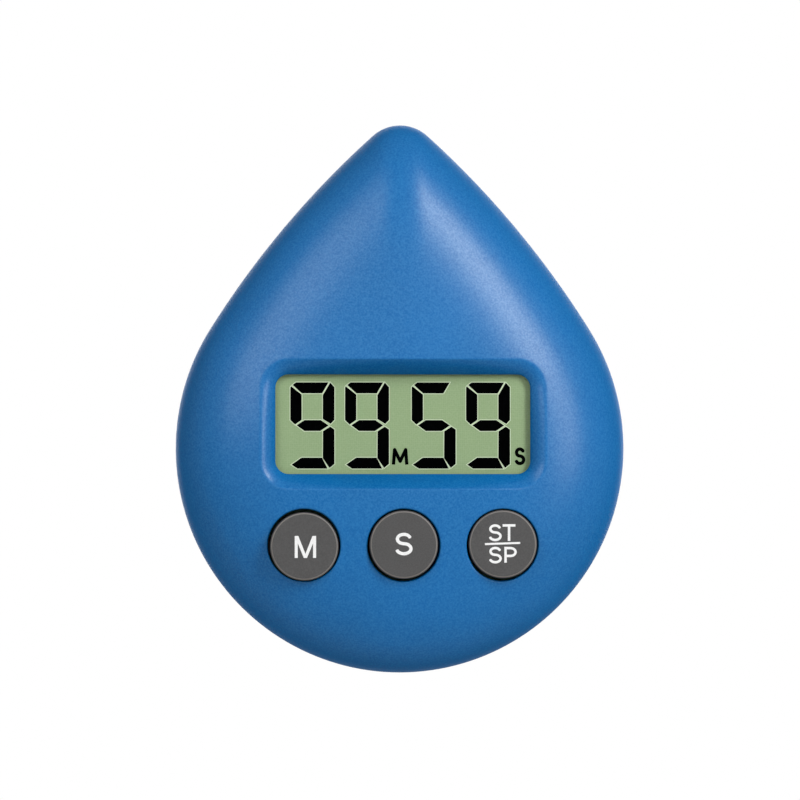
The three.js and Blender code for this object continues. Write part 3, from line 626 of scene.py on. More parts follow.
def letterPlates(letter, x, y, width, height, stroke):  # by its centre, outer size and stroke
    left, right, low, high = x - width / 2, x + width / 2, y - height / 2, y + height / 2
    half, shape = stroke / 2, letterShapes.get(letter)

    def bow(centreY, rx, ry, start, end, centreX=x, steps=18):
        turns = [math.radians(start + (end - start) * i / steps) for i in range(steps + 1)]
        return [(centreX + rx * math.cos(t), centreY + ry * math.sin(t)) for t in turns]

    if letter == "M":
        plates, reach = [], stroke * shape["slantFoot"]
        for side, foot in ((1, left), (-1, right)):  # leg and slanted stroke of each half
            leg = foot + side * stroke
            plates.append([(foot, low), (leg, low), (leg, high), (foot, high)])
            slant = [(foot + side * stroke * shape["slantTop"], high), (foot, high)]
            plates.append([(x - reach, low), (x + reach, low)] + slant[::side])
        return plates
    if letter == "T":
        bar, stem = [(left, high - half), (right, high - half)], [(x, high - half), (x, low)]
        return strokePlates(bar, stroke) + strokePlates(stem, stroke)
    if letter == "P":
        wide, tall = width * shape["wide"], height * shape["tall"] - half * shape["thin"]
        centreY = high - half - height * shape["middle"]
        curve = bow(centreY, wide, tall, 90, -90, right - half - wide)
        stem = [(left + half, low), (left + half, high)]
        bowl = [(left, curve[0][1]), *curve, (left, curve[-1][1])]
        return strokePlates(stem, stroke) + strokePlates(bowl, stroke)
    if letter == "S":
        upperTall, lowerTall = ((height - stroke) * shape[part] for part in ("upper", "lower"))
        wide = width / 2 - half
        upper = bow(high - half - upperTall, wide * shape["narrow"], upperTall, *shape["upperArc"])
        lower = bow(low + half + lowerTall, wide, lowerTall, *shape["lowerArc"])
        return strokePlates(upper + lower, stroke)
    lean, dip = width * shape["lean"], height * shape["dip"]  # splayed letter of the display
    return strokePlates([(left + half, low), (left + lean, high - half), (x, low + dip),
                         (right - lean, high - half), (right - half, low)], stroke)


# display: film and the segments that are on, with the pale edge that they have
lcd = {
    "tone": (0.246, 0.35, 0.176), "shade": (0.227, 0.327, 0.162), "cloud": 9,
    "weave": (0.35, 0.4), "weaveShare": 0.24, "weaveRelief": (0.002, 0.4),  # weave: size and spread
    "rough": 0.42, "roughSpread": 0.1, "specular": 0.2,
    "ink": {
        "tone": (0.0004, 0.0005, 0.0006), "grain": 0.3, "detail": 3, "tint": (1, 2.2),
        "rough": 0.6, "specular": 0.0,
    },
    "rim": {
        "tone": (0.54, 0.64, 0.45), "grain": 0.4, "detail": 2, "tint": (1, 1.15),
        "rough": 0.5, "specular": 0.2,
    },
    "digits": "9959", "lefts": (-18.55, -9.55, 1.45, 10.42), "centreY": -0.2,
    "width": 7.3, "height": 14.2, "rimWidth": 0.13,
    "inkThick": 0.02, "rimThick": 0.012, "inkGap": 0.004,
    "marks": {  # centre from the window's middle, size and stroke
        "M": ("splayedM", -0.42, -5.27, 2.76, 2.74, 0.56),
        "S": ("S", 19.35, -5.27, 1.8, 2.94, 0.56),
    },
}
segmentPlates = {  # corners in a digit box of one by one, from its upper left
    "top": [(0.055, 0.03), (0.13, 0.0), (0.865, 0.0), (0.722, 0.127), (0.263, 0.127)],
    "upperLeft": [
        (0.005, 0.06), (0.022, 0.045), (0.26, 0.142), (0.26, 0.435), (0.11, 0.489), (0.005, 0.438),
    ],
    "upperRight": [
        (0.905, 0.002), (1, 0.056), (1, 0.435), (0.915, 0.481), (0.737, 0.425), (0.737, 0.148),
    ],
    "middle": [
        (0.146, 0.498), (0.325, 0.437), (0.69, 0.437),
        (0.868, 0.499), (0.68, 0.564), (0.322, 0.564),
    ],
    "lowerRight": [
        (0.905, 0.513), (1, 0.547), (1, 0.946), (0.888, 0.992), (0.737, 0.88), (0.74, 0.567),
    ],
    "bottom": [(0.03, 0.955), (0.255, 0.873), (0.72, 0.873), (0.845, 1), (0.165, 1)],
}
digitSegments = {
    "5": ("top", "upperLeft", "middle", "lowerRight", "bottom"),
    "9": ("top", "upperLeft", "upperRight", "middle", "lowerRight", "bottom"),
}


def makeDisplayFinishes(look):
    shader = finish("lcdFilm")
    cloud, weave = shader.noise(look["cloud"]), shader.cells(*look["weave"])
    base = shader.mix(cloud, look["shade"], look["tone"])
    film = shader.principled(
        Base_Color=shader.mix(weave * look["weaveShare"], base, look["rim"]["tone"]),
        Roughness=look["rough"] + weave * look["roughSpread"], Specular_IOR_Level=look["specular"],
        Normal=shader.bump(weave, *look["weaveRelief"]),
    )
    return film, thinFinish("lcdInk", **look["ink"]), thinFinish("lcdRim", **look["rim"])


def makeDisplay(look):
    film, ink, rim = makeDisplayFinishes(look)
    for node in ("lcd_front_polariser", "lcd_reflector"):
        dress(node, film)
    filmTop, middleY = levels("lcd_front_polariser")[1], frontShell["windowY"]
    width, height = look["width"], look["height"]
    rimThick, inkThick = look["rimThick"], look["inkThick"]  # the rim is half sunk in the film
    edgeZ, inkZ = filmTop + rimThick * 0.5, filmTop + rimThick * 1.5 + look["inkGap"]
    top = middleY + look["centreY"] + height / 2
    for number, (digit, left) in enumerate(zip(look["digits"], look["lefts"]), 1):
        plates = [[(left + u * width, top - v * height) for u, v in segmentPlates[segment]]
                  for segment in digitSegments[digit]]
        wide = [growPlate(plate, look["rimWidth"]) for plate in plates]
        makePrint(f"digitRim{number}", wide, edgeZ, rimThick, rim, "case")
        makePrint(f"digit{number}", plates, inkZ, inkThick, ink, "case")
    for name, (letter, x, y, *size) in look["marks"].items():
        plates = letterPlates(letter, x, middleY + y, *size)
        makePrint(f"unitMark{name}", plates, edgeZ, inkThick, ink, "case")


makeDisplay(lcd)

# window behind the bezel, clear from the front; haze and hairlines by size, detail and stretch
windowLens = {
    "tone": (0.10, 0.12, 0.11), "haze": (6, 4), "hazeTint": (1, 1.3),
    "hair": (0.5, 4, (1, 1, 14)), "hairEdge": (0.66, 0.05), "hairRough": 0.1, "rough": 0.06,
    "grazing": 0.4, "grazingPower": 3, "overlap": 1.4, "edge": 0.15,
}


def makeWindow(look):
    shader = finish("clearWindow")
    haze, hair = shader.noise(*look["haze"]), shader.noise(*look["hair"])
    clear = shader.principled(
        Base_Color=shader.tint(haze, look["tone"], *look["hazeTint"]),
        Roughness=look["rough"] + hair.above(*look["hairEdge"]) * look["hairRough"],
        Alpha=shader.facing() ** look["grazingPower"] * look["grazing"],
    )
    build = Build()
    low, high = levels("window_lens")
    edge, y = look["edge"], middle("window_lens")[1]
    profile = ((edge, low), (0, low + edge), (0, high - edge), (edge, high))
    rings = [build.ring(windowOutline(look["overlap"] - inset, y), z) for inset, z in profile]
    build.strips(rings)
    build.cap(rings[0], rings[-1])
    makePiece("windowLens", build, clear, "case", "window_lens", sharp=20)


makeWindow(windowLens)
print("display made")

# keys: caps with their print
keyLook = {
    "tone": (0.057, 0.056, 0.056), "cloud": 3, "cloudTint": (0.88, 1.12),
    "grain": 0.24, "grainEdge": (0.5, 0.22), "grainShare": 0.5, "grainPale": 1.6,
    "relief": (0.008, 0.8), "rough": 0.62, "roughSpread": 0.16, "specular": 0.3,
    # painted highlight: a lighter tone on a thin band where each cap's rounded edge starts
    "edgeHighlightFinish": {
        "tone": (0.17, 0.157, 0.145), "grain": 0.2, "detail": 3, "tint": (0.85, 1),
        "rough": 0.5, "specular": 0.4,
    },
    "print": (0.86, 0.86, 0.86), "printGrain": 0.12, "printEdge": (0.5, 0.2), "printTint": (0.9, 1),
    "printRough": (0.5, 0.15), "printRelief": (0.004, 0.5), "printThick": 0.03,
    "edge": 0.4, "edgeSteps": 8, "highlightLine": (0.9, 0.35), "faceRing": 0.5, "edgeRing": 0.02,
    "skin": 1.6, "plunger": 2.4, "centre": 0.6, "sides": 96,
    "tabWidth": 3, "tabReach": 0.8, "tabRoot": 0.6, "tabThick": 1,
    "offset": {"minute": (0.04, -0.2), "second": (0.0, 0.1), "start_stop": (0.0, 0.16)},
    "letters": {  # centre from the cap's middle, size and stroke
        "minute": [("M", 0.16, -0.08, 3.5, 3.6, 0.5)],
        "second": [("S", -0.02, 0.1, 2.88, 3.7, 0.53)],
        "start_stop": [
            ("S", -1.28, 1.87, 2.16, 2.78, 0.41), ("T", 1.0, 1.9, 2.1, 2.74, 0.41),
            ("S", -1.26, -1.8, 2.16, 2.74, 0.41), ("P", 1.24, -1.74, 2.05, 2.6, 0.41),
        ],
    },
    "bar": {"x": -0.06, "y": 0.1, "length": 5.8, "rise": 0.2, "stroke": 0.33},
}


def makeKeyFinishes(look):
    shader = finish("keyRubber")
    fine, cloud = shader.noise(look["grain"]), shader.noise(look["cloud"])
    base = shader.tint(cloud, look["tone"], *look["cloudTint"])
    pale = [c * look["grainPale"] for c in look["tone"]]
    rubber = shader.principled(
        Base_Color=shader.mix(fine.above(*look["grainEdge"]) * look["grainShare"], base, pale),
        Roughness=look["rough"] + (fine - 0.5) * look["roughSpread"],
        Specular_IOR_Level=look["specular"], Normal=shader.bump(fine, *look["relief"]),
    )
    shader = finish("keyPrint")
    fine, (rough, spread) = shader.noise(look["printGrain"]), look["printRough"]
    ink = shader.principled(
        Base_Color=shader.tint(fine.above(*look["printEdge"]), look["print"], *look["printTint"]),
        Roughness=rough + fine * spread, Normal=shader.bump(fine, *look["printRelief"]),
    )
    return rubber, thinFinish("keyEdgePaintedHighlight", **look["edgeHighlightFinish"]), ink


def makeCap(look, key, x, y, low, face, rubber, edgeHighlight):
    edge, radius, centre = look["edge"], keyRadius, look["centre"]
    hollow, under = radius - look["skin"], face - look["skin"]
    build = turned([
        (centre, face), (radius * look["faceRing"], face), (radius - edge - look["edgeRing"], face),
        *fillet(radius, face, edge, look["edgeSteps"], -1, -1),
        (radius, low), (hollow, low), (hollow, under), (look["plunger"], under),
        (look["plunger"], low), (centre, low),
    ], x, y, look["sides"])
    half = look["tabWidth"] / 2
    for side in (-1, 1):  # tabs that keep the cap in its hole
        near, far = x + side * (hollow + look["tabRoot"]), x + side * (radius + look["tabReach"])
        plan = [(near, y - half), (near, y + half), (far, y + half), (far, y - half)]
        build.plate(plan, low, low + look["tabThick"])
    cap = makePiece(
        f"{key}Cap", build, rubber, f"{key}_key", f"{key}_button", sharp=50)
    cap.data.materials.append(edgeHighlight)
    start, end = (radius - edge * share for share in look["highlightLine"])
    for polygon in cap.data.polygons:  # painted highlight: a thin bright line where the rounded edge starts
        at = polygon.center
        run = math.hypot(at.x / mm - x, (at.z - bodyCentre) / mm - y)
        if -at.y / mm > face - edge and start < run < end:
            polygon.material_index = 1


def makeKeys(look):
    rubber, edgeHighlight, ink = makeKeyFinishes(look)
    thick, bar = look["printThick"], look["bar"]
    for key, (keyX, keyY) in zip(keyNames, keySpots):
        low, top = levels(f"{key}_button")
        face = top - thick
        x, y = keyX + look["offset"][key][0], keyY + look["offset"][key][1]
        makeCap(look, key, x, y, low, face, rubber, edgeHighlight)
        plates = []
        for letter, dx, dy, *size in look["letters"][key]:
            plates += letterPlates(letter, x + dx, y + dy, *size)
        if key == "start_stop":
            ends = [(x + bar["x"] + side * bar["length"] / 2, y + bar["y"] + side * bar["rise"] / 2)
                    for side in (-1, 1)]
            plates += strokePlates(ends, bar["stroke"])
        makePrint(f"{key}Legend", plates, face, thick, ink, f"{key}_key")


makeKeys(keyLook)

# silicone domes that the keys press down; cloud and fine are a noise's size and detail
domeLook = {
    "tone": (0.60, 0.63, 0.60), "tint": (0.92, 1.06), "cloud": (2, 3), "fine": (0.2, 2),
    "rough": (0.5, 0.15), "relief": (0.006, 0.5), "glow": 0.2,
    "skin": 0.5, "foot": 1.3, "footHeight": 0.8, "crown": 2.4, "roof": 1.6,
    "soft": 0.15, "centre": 0.4, "sides": 48,
}


def makeDomes(look):
    silicone = grainFinish(
        "domeSilicone", look, Subsurface_Weight=look["glow"], Subsurface_Radius=(mm, mm, mm))
    soft, skin, top, centre = look["soft"], look["skin"], look["crown"], look["centre"]
    for key, (x, y) in zip(keyNames, keySpots):
        node = f"{key}_dome"
        foot, crown = levels(node)
        outside = halfWidth(node)
        inside, roof, lift = outside - look["foot"], crown - look["roof"], foot + look["footHeight"]
        build = turned([
            (centre, roof), (top - skin - soft, roof), (top - skin, roof - soft),
            (inside - soft, lift + soft), (inside, lift - soft), (inside, foot), (outside, foot),
            (outside, lift - soft), (outside - soft, lift), (inside + skin + soft, lift),
            (inside + skin - soft, lift + soft), (top + soft / 2, roof + skin),
            (top, roof + skin + soft), (top, crown - soft), (top - soft, crown), (centre, crown),
        ], x, y, look["sides"])
        dome = makePiece(f"{key}Dome", build, silicone, "case", node, sharp=60)
        spot(x, y, foot)
        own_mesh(dome)


makeDomes(domeLook)
print("keys made")

# rear cover: rounded edge, flat back with its wells and holes
rearCover = {
    "edgeSteps": 10, "innerEdge": 1.5, "innerEdgeSteps": 6, "soft": 0.25, "softSteps": 4,
    "edge": 0.15, "seam": 0.01, "rimDrop": 0.1,
    "grooveOuter": 0.5, "grooveInner": 1.5, "grooveDeep": 0.8,
    "tongueOuter": 2.2, "tongueWidth": 1, "tongueHeight": 1.5, "tongueRoot": 1, "tongueFoot": 2.2,
    "screwHead": 2.25, "screwShaft": 1.2, "screwSink": 5, "boss": 2.85, "bossDrop": 0.2,
    "headWall": 3.2, "headHeight": 1.9, "holeSides": 48, "neckHole": 2.9,
    "soundHole": 0.7, "soundPitch": 2.8, "soundSoft": 0.12, "soundSteps": 3, "soundSides": 20,
    "doorHole": 8.9, "doorShelf": 3.04, "doorSides": 96, "skirtHole": 7.5, "skirtRoom": 0.3,
    "pocket": 6.1, "pocketWall": 1.4, "cellRoom": 0.7, "floorWall": 1.2,
    "tub": 10.3, "tubRoof": 1.5, "centre": 0.5, "spacing": 4, "gridInset": 3, "gridClear": 1,
}
backZ, rimZ = levels("rear_cover")[0], partingZ - rearCover["rimDrop"]
innerZ = backZ + caseShape["wall"]
doorX, doorY = middle("battery_door")
cupX, cupY = middle("suction_cup")
screwSpots = [middle(f"case_screw_{i}") for i in range(1, 5)]
skirtZ = levels("battery_door")[1]


def backRim(look, radius):  # softened edge of a hole in the back
    return fillet(radius, backZ, look["soft"], look["softSteps"])


def coverHoles(look):  # through holes: centre, sides and profile from the back to the inside
    seatZ, topZ = backZ + look["screwSink"], rimZ - look["bossDrop"]
    roofZ = seatZ + look["headHeight"]
    screwWell = backRim(look, look["screwHead"]) + [
        (look["screwHead"], seatZ), (look["screwShaft"], seatZ), (look["screwShaft"], topZ),
        (look["boss"], topZ), (look["boss"], roofZ),
        (look["headWall"], roofZ), (look["headWall"], innerZ),
    ]
    holes = [(x, y, look["holeSides"], screwWell) for x, y in screwSpots]
    soundX, soundY = middle("piezo_plate")
    sound = fillet(look["soundHole"], backZ, look["soundSoft"], look["soundSteps"])
    sound.append((look["soundHole"], innerZ))
    for i in range(5):  # one in the middle and four round it
        out, turn = (look["soundPitch"] if i else 0), math.pi / 2 * i
        spotX, spotY = soundX + out * math.cos(turn), soundY + out * math.sin(turn)
        holes.append((spotX, spotY, look["soundSides"], sound))
    neck = backRim(look, look["neckHole"]) + [(look["neckHole"], innerZ)]
    return holes + [(cupX, cupY, look["holeSides"], neck)]


def batteryWell(look):  # profiles of the well, from the back, and of its tub inside
    shelf, top = backZ + look["doorShelf"], skirtZ + look["skirtRoom"]
    floor = levels("button_cell")[1] + look["cellRoom"]
    well = backRim(look, look["doorHole"]) + [
        (look["doorHole"], shelf), (look["skirtHole"], shelf), (look["skirtHole"], top),
        (look["pocket"], top), (look["pocket"], floor), (look["centre"], floor),
    ]
    wide, roof = look["pocket"] + look["pocketWall"], skirtZ + look["tubRoof"]
    over = floor + look["floorWall"]
    tub = [(look["tub"], innerZ), (look["tub"], roof), (wide, roof), (wide, over),
           (look["centre"], over)]
    return well, tub


def makeRearCover(look):
    build = Build()
    edge, wall = caseShape["rearEdge"], caseShape["wall"]
    lipZ, grooveZ = partingZ - look["seam"], rimZ - look["grooveDeep"]
    tongueInner = look["tongueOuter"] + look["tongueWidth"]
    tongueTop = partingZ + look["tongueHeight"]
    section = [
        *fillet(0, backZ, edge, look["edgeSteps"]), (0, lipZ - look["edge"]), (look["edge"], lipZ),
        (look["grooveOuter"], lipZ), (look["grooveOuter"], grooveZ), (look["grooveInner"], grooveZ),
        (look["grooveInner"], rimZ), (look["tongueOuter"], rimZ), (look["tongueOuter"], tongueTop),
        (tongueInner, tongueTop), (tongueInner, rimZ - look["tongueRoot"]),
        (wall, rimZ - look["tongueFoot"]),
        *reversed(fillet(wall, innerZ, look["innerEdge"], look["innerEdgeSteps"])),
    ]
    build.strips([build.ring(dropOutline(inset), z) for inset, z in section])
    backHoles, innerHoles = [], []
    for x, y, sides, profile in coverHoles(look):
        build.strips(turnedRings(build, profile, x, y, sides))
        backHoles.append((x, y, profile[0][0], sides))
        innerHoles.append((x, y, profile[-1][0], sides))
    for profile, holes in zip(batteryWell(look), (backHoles, innerHoles)):
        build.pocket(turnedRings(build, profile, doorX, doorY, look["doorSides"]))
        holes.append((doorX, doorY, profile[0][0], look["doorSides"]))
    flats = ((section[0][0], backZ, backHoles), (section[-1][0], innerZ, innerHoles))
    for inset, z, holes in flats:
        grid = []
        for x, y in staggered(look["spacing"], tipReach):
            clear = all(math.hypot(x - holeX, y - holeY) > radius + look["gridClear"]
                        for holeX, holeY, radius, _ in holes)
            if clear and math.hypot(x, y) < outlineReach(x, y) - inset - look["gridInset"]:
                grid.append([(x, y)])
        points, triangles, _ = fillPlan(dropOutline(inset), [circle(*hole) for hole in holes], grid)
        placed = build.ring(points, z)
        build.faces += [tuple(placed[i] for i in t) for t in triangles]
    makePiece("rearCover", build, blueCase, "case", "rear_cover", sharp=45)


makeRearCover(rearCover)
print("rear cover made")

# battery door with its coin slot and lugs
batteryDoor = {
    "edge": 0.4, "edgeSteps": 6, "thick": 2, "skirt": 7.2, "hollow": 6.1, "centre": 0.5,
    "sides": 96, "lugReach": 1.1, "lugRoot": 0.4, "lugHeight": 1, "lugAngle": 36, "lugTurn": 45,
    "lugSteps": 12, "slotLength": 10, "slotWidth": 1.8, "slotDeep": 1, "slotSoft": 0.15,
    "slotBevel": 0.3, "slotSteps": 12,
}


def slotOutline(look, grow):
    end, run = look["slotWidth"] / 2 + grow, (look["slotLength"] - look["slotWidth"]) / 2
    quarter, steps = math.pi / 2, look["slotSteps"]
    return (arc(doorX + run, doorY, end, -quarter, quarter, steps)
            + arc(doorX - run, doorY, end, quarter, 3 * quarter, steps))


def makeDoor(look):
    build = Build()
    radius, skirt, inner = halfWidth("battery_door"), look["skirt"], backZ + look["thick"]
    profile = [
        *fillet(radius, backZ, look["edge"], look["edgeSteps"], -1),
        (radius, inner), (skirt, inner), (skirt, skirtZ),
        (look["hollow"], skirtZ), (look["hollow"], inner), (look["centre"], inner),
    ]
    build.pocket(turnedRings(build, profile, doorX, doorY, look["sides"]))
    soft, bevel = look["slotSoft"], look["slotSoft"] * look["slotBevel"]
    face = circle(doorX, doorY, profile[0][0], look["sides"])
    faceWithCut(build, face, slotOutline(look, soft), backZ)
    steps = ((soft, 0), (bevel, bevel), (0, soft), (0, look["slotDeep"]))
    build.pocket([build.ring(slotOutline(look, grow), backZ + deep) for grow, deep in steps])
    for side in (0, 180):
        start = math.radians(look["lugTurn"] + side - look["lugAngle"] / 2)
        end = start + math.radians(look["lugAngle"])
        plan = arc(doorX, doorY, skirt + look["lugReach"], start, end, look["lugSteps"])
        plan += arc(doorX, doorY, skirt - look["lugRoot"], end, start, look["lugSteps"])
        build.plate(plan, skirtZ - look["lugHeight"], skirtZ)
    makePiece("batteryDoor", build, blueCase, "door", "battery_door")


makeDoor(batteryDoor)

# seals: the gasket along the parting line and the ring under the door
sealLook = {
    "tone": (0.012, 0.012, 0.013), "tint": (1, 2), "cloud": (2.5, 3), "fine": (0.15, 3),
    "rough": (0.62, 0.2), "relief": (0.008, 0.6),
    "outer": 0.6, "inner": 1.4, "height": 0.7, "soft": 0.15,
    "ringRadius": 0.42, "ringAt": 7.67, "squeeze": 0.85, "ringSides": 72, "sectionSides": 16,
}


def makeSeals(look):
    rubber = grainFinish("sealRubber", look)
    low, high = rimZ - look["height"], rimZ
    soft, outer, inner = look["soft"], look["outer"], look["inner"]
    section = [
        (outer, low + soft), (outer, high - soft), (outer + soft, high), (inner - soft, high),
        (inner, high - soft), (inner, low + soft), (inner - soft, low), (outer + soft, low),
    ]
    build = Build()
    rings = [build.ring(dropOutline(inset), z) for inset, z in section]
    build.strips(rings + rings[:1])
    makePiece("caseSeal", build, rubber, "case", "case_seal", sharp=60)
    ringZ = sum(levels("door_seal")) / 2
    section = [(look["ringAt"] + u, ringZ + v * look["squeeze"])
               for u, v in circle(0, 0, look["ringRadius"], look["sectionSides"])]
    build = Build()
    rings = turnedRings(build, section, doorX, doorY, look["ringSides"])
    build.strips(rings + rings[:1])
    makePiece("doorSeal", build, rubber, "door", "door_seal", sharp=60)


makeSeals(sealLook)

# suction cup: thin bell with a sealing lip, hub, neck and a head behind the cover
cupLook = {
    "tone": (0.88, 0.93, 0.94), "tint": (0.96, 1.03), "cloud": (5, 4), "fine": (0.4, 2),
    "rough": (0.1, 0.05), "relief": (0.002, 0.3), "clear": 0.85, "index": 1.45,
    "sides": 96, "curveSteps": 6, "centre": 0.4, "soft": 0.2,
    "lip": 1.4, "lipEdge": 0.2, "lipSoft": (0.05, 0.06), "hollow": 3.8,
    "insideCurve": ((0.3, 0.93), (0.6, 0.6), (0.8, 0.26)),  # shares of the radius and the hollow
    "outsideCurve": ((0.86, 0.2), (0.62, 0.42)),  # of the radius and the back's height
    "hubCurve": ((1.25, 0.66), (1, 0.82)),  # of the hub and the back's height
    "hub": 5, "hubGap": 0.2, "hubEdge": (0.25, 0.45), "neck": 2.6, "neckGap": 0.2,
    "head": 4.4, "headHeight": 2, "headSide": 0.6, "headCurve": (0.88, 0.7),
}


def smoothLine(points, steps):  # smooth curve through a few radius and level pairs
    line = []
    padded = [points[0], *points, points[-1]]
    for p0, p1, p2, p3 in zip(padded, padded[1:], padded[2:], padded[3:]):
        for i in range(steps):
            t = i / steps
            line.append(tuple(
                0.5 * (2 * b + (c - a) * t + (2 * a - 5 * b + 4 * c - d) * t * t
                       + (3 * b - a - 3 * c + d) * t ** 3)
                for a, b, c, d in zip(p0, p1, p2, p3)
            ))
    return line + [points[-1]]


def makeCup(look):
    shader = finish("cupRubber")
    cloud, fine = shader.noise(*look["cloud"]), shader.noise(*look["fine"])
    rough, spread = look["rough"]
    clear = shader.principled(
        Base_Color=shader.tint(cloud, look["tone"], *look["tint"]),
        Roughness=rough + cloud * spread, Normal=shader.bump(fine, *look["relief"]),
        Transmission_Weight=look["clear"], IOR=look["index"],
    )
    radius, deep, hub, head = halfWidth("suction_cup"), look["hollow"], look["hub"], look["head"]
    lipEdge, (lipIn, lipUp), soft = look["lipEdge"], look["lipSoft"], look["soft"]
    hubIn, hubDown = look["hubEdge"]
    inside = smoothLine([
        (look["centre"], deep), *((radius * u, deep * v) for u, v in look["insideCurve"]),
        (radius - look["lip"] - lipEdge, 0),
    ], look["curveSteps"])
    outside = smoothLine([
        (radius, lipEdge), *((radius * u, backZ * v) for u, v in look["outsideCurve"]),
        *((hub * u, backZ * v) for u, v in look["hubCurve"]), (hub, backZ - hubDown),
    ], look["curveSteps"])
    hubTop, neckTop = backZ - look["hubGap"], innerZ + look["neckGap"]
    crown, sideTop = neckTop + look["headHeight"], neckTop + look["headHeight"] * look["headSide"]
    top, (shoulder, flat) = min(crown, levels("suction_cup")[1]), look["headCurve"]
    build = turned([
        *inside, (radius - lipEdge, 0), (radius - lipIn, lipUp), *outside, (hub - hubIn, hubTop),
        (look["neck"], hubTop), (look["neck"], neckTop), (head - soft, neckTop),
        (head, neckTop + soft), (head, sideTop), (head * shoulder, crown - soft),
        (head * flat, top), (look["centre"], top),
    ], cupX, cupY, look["sides"])
    makePiece("suctionCup", build, clear, "case", "suction_cup", sharp=45)


makeCup(cupLook)

# case screws with a cross recess
screwLook = {
    "tone": (0.50, 0.51, 0.53), "rough": 0.3, "headRadius": 2, "headHeight": 1.4, "headFoot": 0.05,
    "headCurve": ((0.72, 0), (0.9, 0.18), (1, 0.5)),  # shares of the radius, heights from its face
    "shaft": 0.95, "core": 0.78, "pitch": 0.75, "ridge": 0.5, "threadStart": 0.2, "threadRoom": 1,
    "tip": 0.7, "tipRadii": (0.25, 0.1), "sides": 40,
    "arm": 1.05, "armWidth": 0.5, "armTaper": 0.8, "deep": 0.8, "turn": 0.5,
}
metalGrain = {
    "hair": (0.4, 4), "cloud": 1.5, "tint": (0.82, 1.12), "hairRough": 0.14, "cloudRough": 0.06,
    "relief": (0.004, 0.5),
}


def makeMetal(name, tone, rough, stretch=None):
    shader, look = finish(name), metalGrain
    hair, cloud = shader.noise(*look["hair"], stretch), shader.noise(look["cloud"])
    return shader.principled(
        Base_Color=shader.tint(hair, tone, *look["tint"]), Metallic=1.0,
        Roughness=rough + (hair - 0.5) * look["hairRough"] + cloud * look["cloudRough"],
        Normal=shader.bump(hair, *look["relief"]),
    )


def makeScrews(look):
    steel = makeMetal("screwSteel", look["tone"], look["rough"])
    head, shaft, pitch, sides = look["headRadius"], look["shaft"], look["pitch"], look["sides"]
    core, arm, half = shaft * look["core"], look["arm"], look["armWidth"] / 2
    corners = [
        (arm, -half), (arm, half), (half, half), (half, arm), (-half, arm), (-half, half),
    ]
    corners += [(-u, -v) for u, v in corners]
    for number, (x, y) in enumerate(screwSpots, 1):
        node = f"case_screw_{number}"
        low, end = levels(node)
        seat = low + look["headHeight"]
        profile = [(head * share, low + rise) for share, rise in look["headCurve"]]
        profile += [(head, seat - look["headFoot"]), (shaft, seat)]
        for i in range(int((end - seat - look["threadRoom"]) / pitch)):  # thread ridges as rings
            z = seat + look["threadStart"] + i * pitch
            profile += [(core, z), (shaft, z + pitch * look["ridge"])]
        profile += [(core, end - look["tip"]), *((radius, end) for radius in look["tipRadii"])]
        build = Build()
        build.pocket(turnedRings(build, profile, x, y, sides))
        cos, sin = math.cos(look["turn"] * number), math.sin(look["turn"] * number)
        cross = [(x + u * cos - v * sin, y + u * sin + v * cos) for u, v in corners]
        faceWithCut(build, circle(x, y, profile[0][0], sides), cross, low)
        floor = [(x + (u - x) * look["armTaper"], y + (v - y) * look["armTaper"]) for u, v in cross]
        build.pocket([build.ring(cross, low), build.ring(floor, low + look["deep"])])
        makePiece(f"caseScrew{number}", build, steel, "case", node, sharp=35)


makeScrews(screwLook)
print("door, seals, cup and screws made")

# finishes of the inner pieces, which keep their solids
innerLooks = {
    "carbon_black": {"tone": (0.013, 0.013, 0.014), "rough": 0.65, "grain": 0.2},
    "lcd_glass": {"tone": (0.72, 0.80, 0.73), "rough": 0.08, "grain": 1.5, "alpha": 0.35},
    "clamp_white": {"tone": (0.76, 0.76, 0.72), "rough": 0.5, "grain": 0.5},
    "board_green": {
        "tone": (0.012, 0.13, 0.042), "rough": 0.38, "grain": 0.9, "lines": (0.02, 0.19, 0.06),
    },
    "resin_black": {"tone": (0.008, 0.008, 0.009), "rough": 0.32, "grain": 0.6},
    "ceramic_tan": {"tone": (0.66, 0.61, 0.52), "rough": 0.6, "grain": 0.15},
    "lead_red": {"tone": (0.44, 0.02, 0.022), "rough": 0.45, "grain": 0.4},
    "lead_black": {"tone": (0.011, 0.011, 0.011), "rough": 0.45, "grain": 0.4},
}
innerMetals = {
    "steel": {
        "name": "cellSteel", "tone": (0.55, 0.56, 0.58), "rough": 0.28, "stretch": (1, 6, 1),
    },
    "brass": {
        "name": "contactBrass", "tone": (0.58, 0.38, 0.09), "rough": 0.32, "stretch": (6, 1, 1),
    },
}
innerGrain = {
    "cloud": 9, "tint": (0.85, 1.15), "roughSpread": 0.15, "relief": (0.006, 0.5),
    "track": (2.2, 0.25), "trackEdge": (0.42, 0.04),
}


def makeInnerFinish(slot, look):
    shader, shared = finish("inner_" + slot), innerGrain
    fine, cloud = shader.noise(look["grain"]), shader.noise(look["grain"] * shared["cloud"])
    base = shader.tint(cloud, look["tone"], *shared["tint"])
    if "lines" in look:  # tracks under the mask
        tracks = shader.cells(*shared["track"]).above(*shared["trackEdge"])
        base = shader.mix(tracks, base, look["lines"])
    return shader.principled(
        Base_Color=base, Roughness=look["rough"] + (fine - 0.5) * shared["roughSpread"],
        Alpha=look.get("alpha", 1.0), Normal=shader.bump(fine, *shared["relief"]),
    )


def dressInside():
    made = {slot: makeMetal(**metal) for slot, metal in innerMetals.items()}
    made.update({slot: makeInnerFinish(slot, look) for slot, look in innerLooks.items()})
    for part in frame["record"]["subparts"]:
        node, slot = part["node"], part["material_slot"]
        if slot in made and not nodes[node].hide_render:
            dress(node, made[slot])


dressInside()
print("inner pieces dressed")


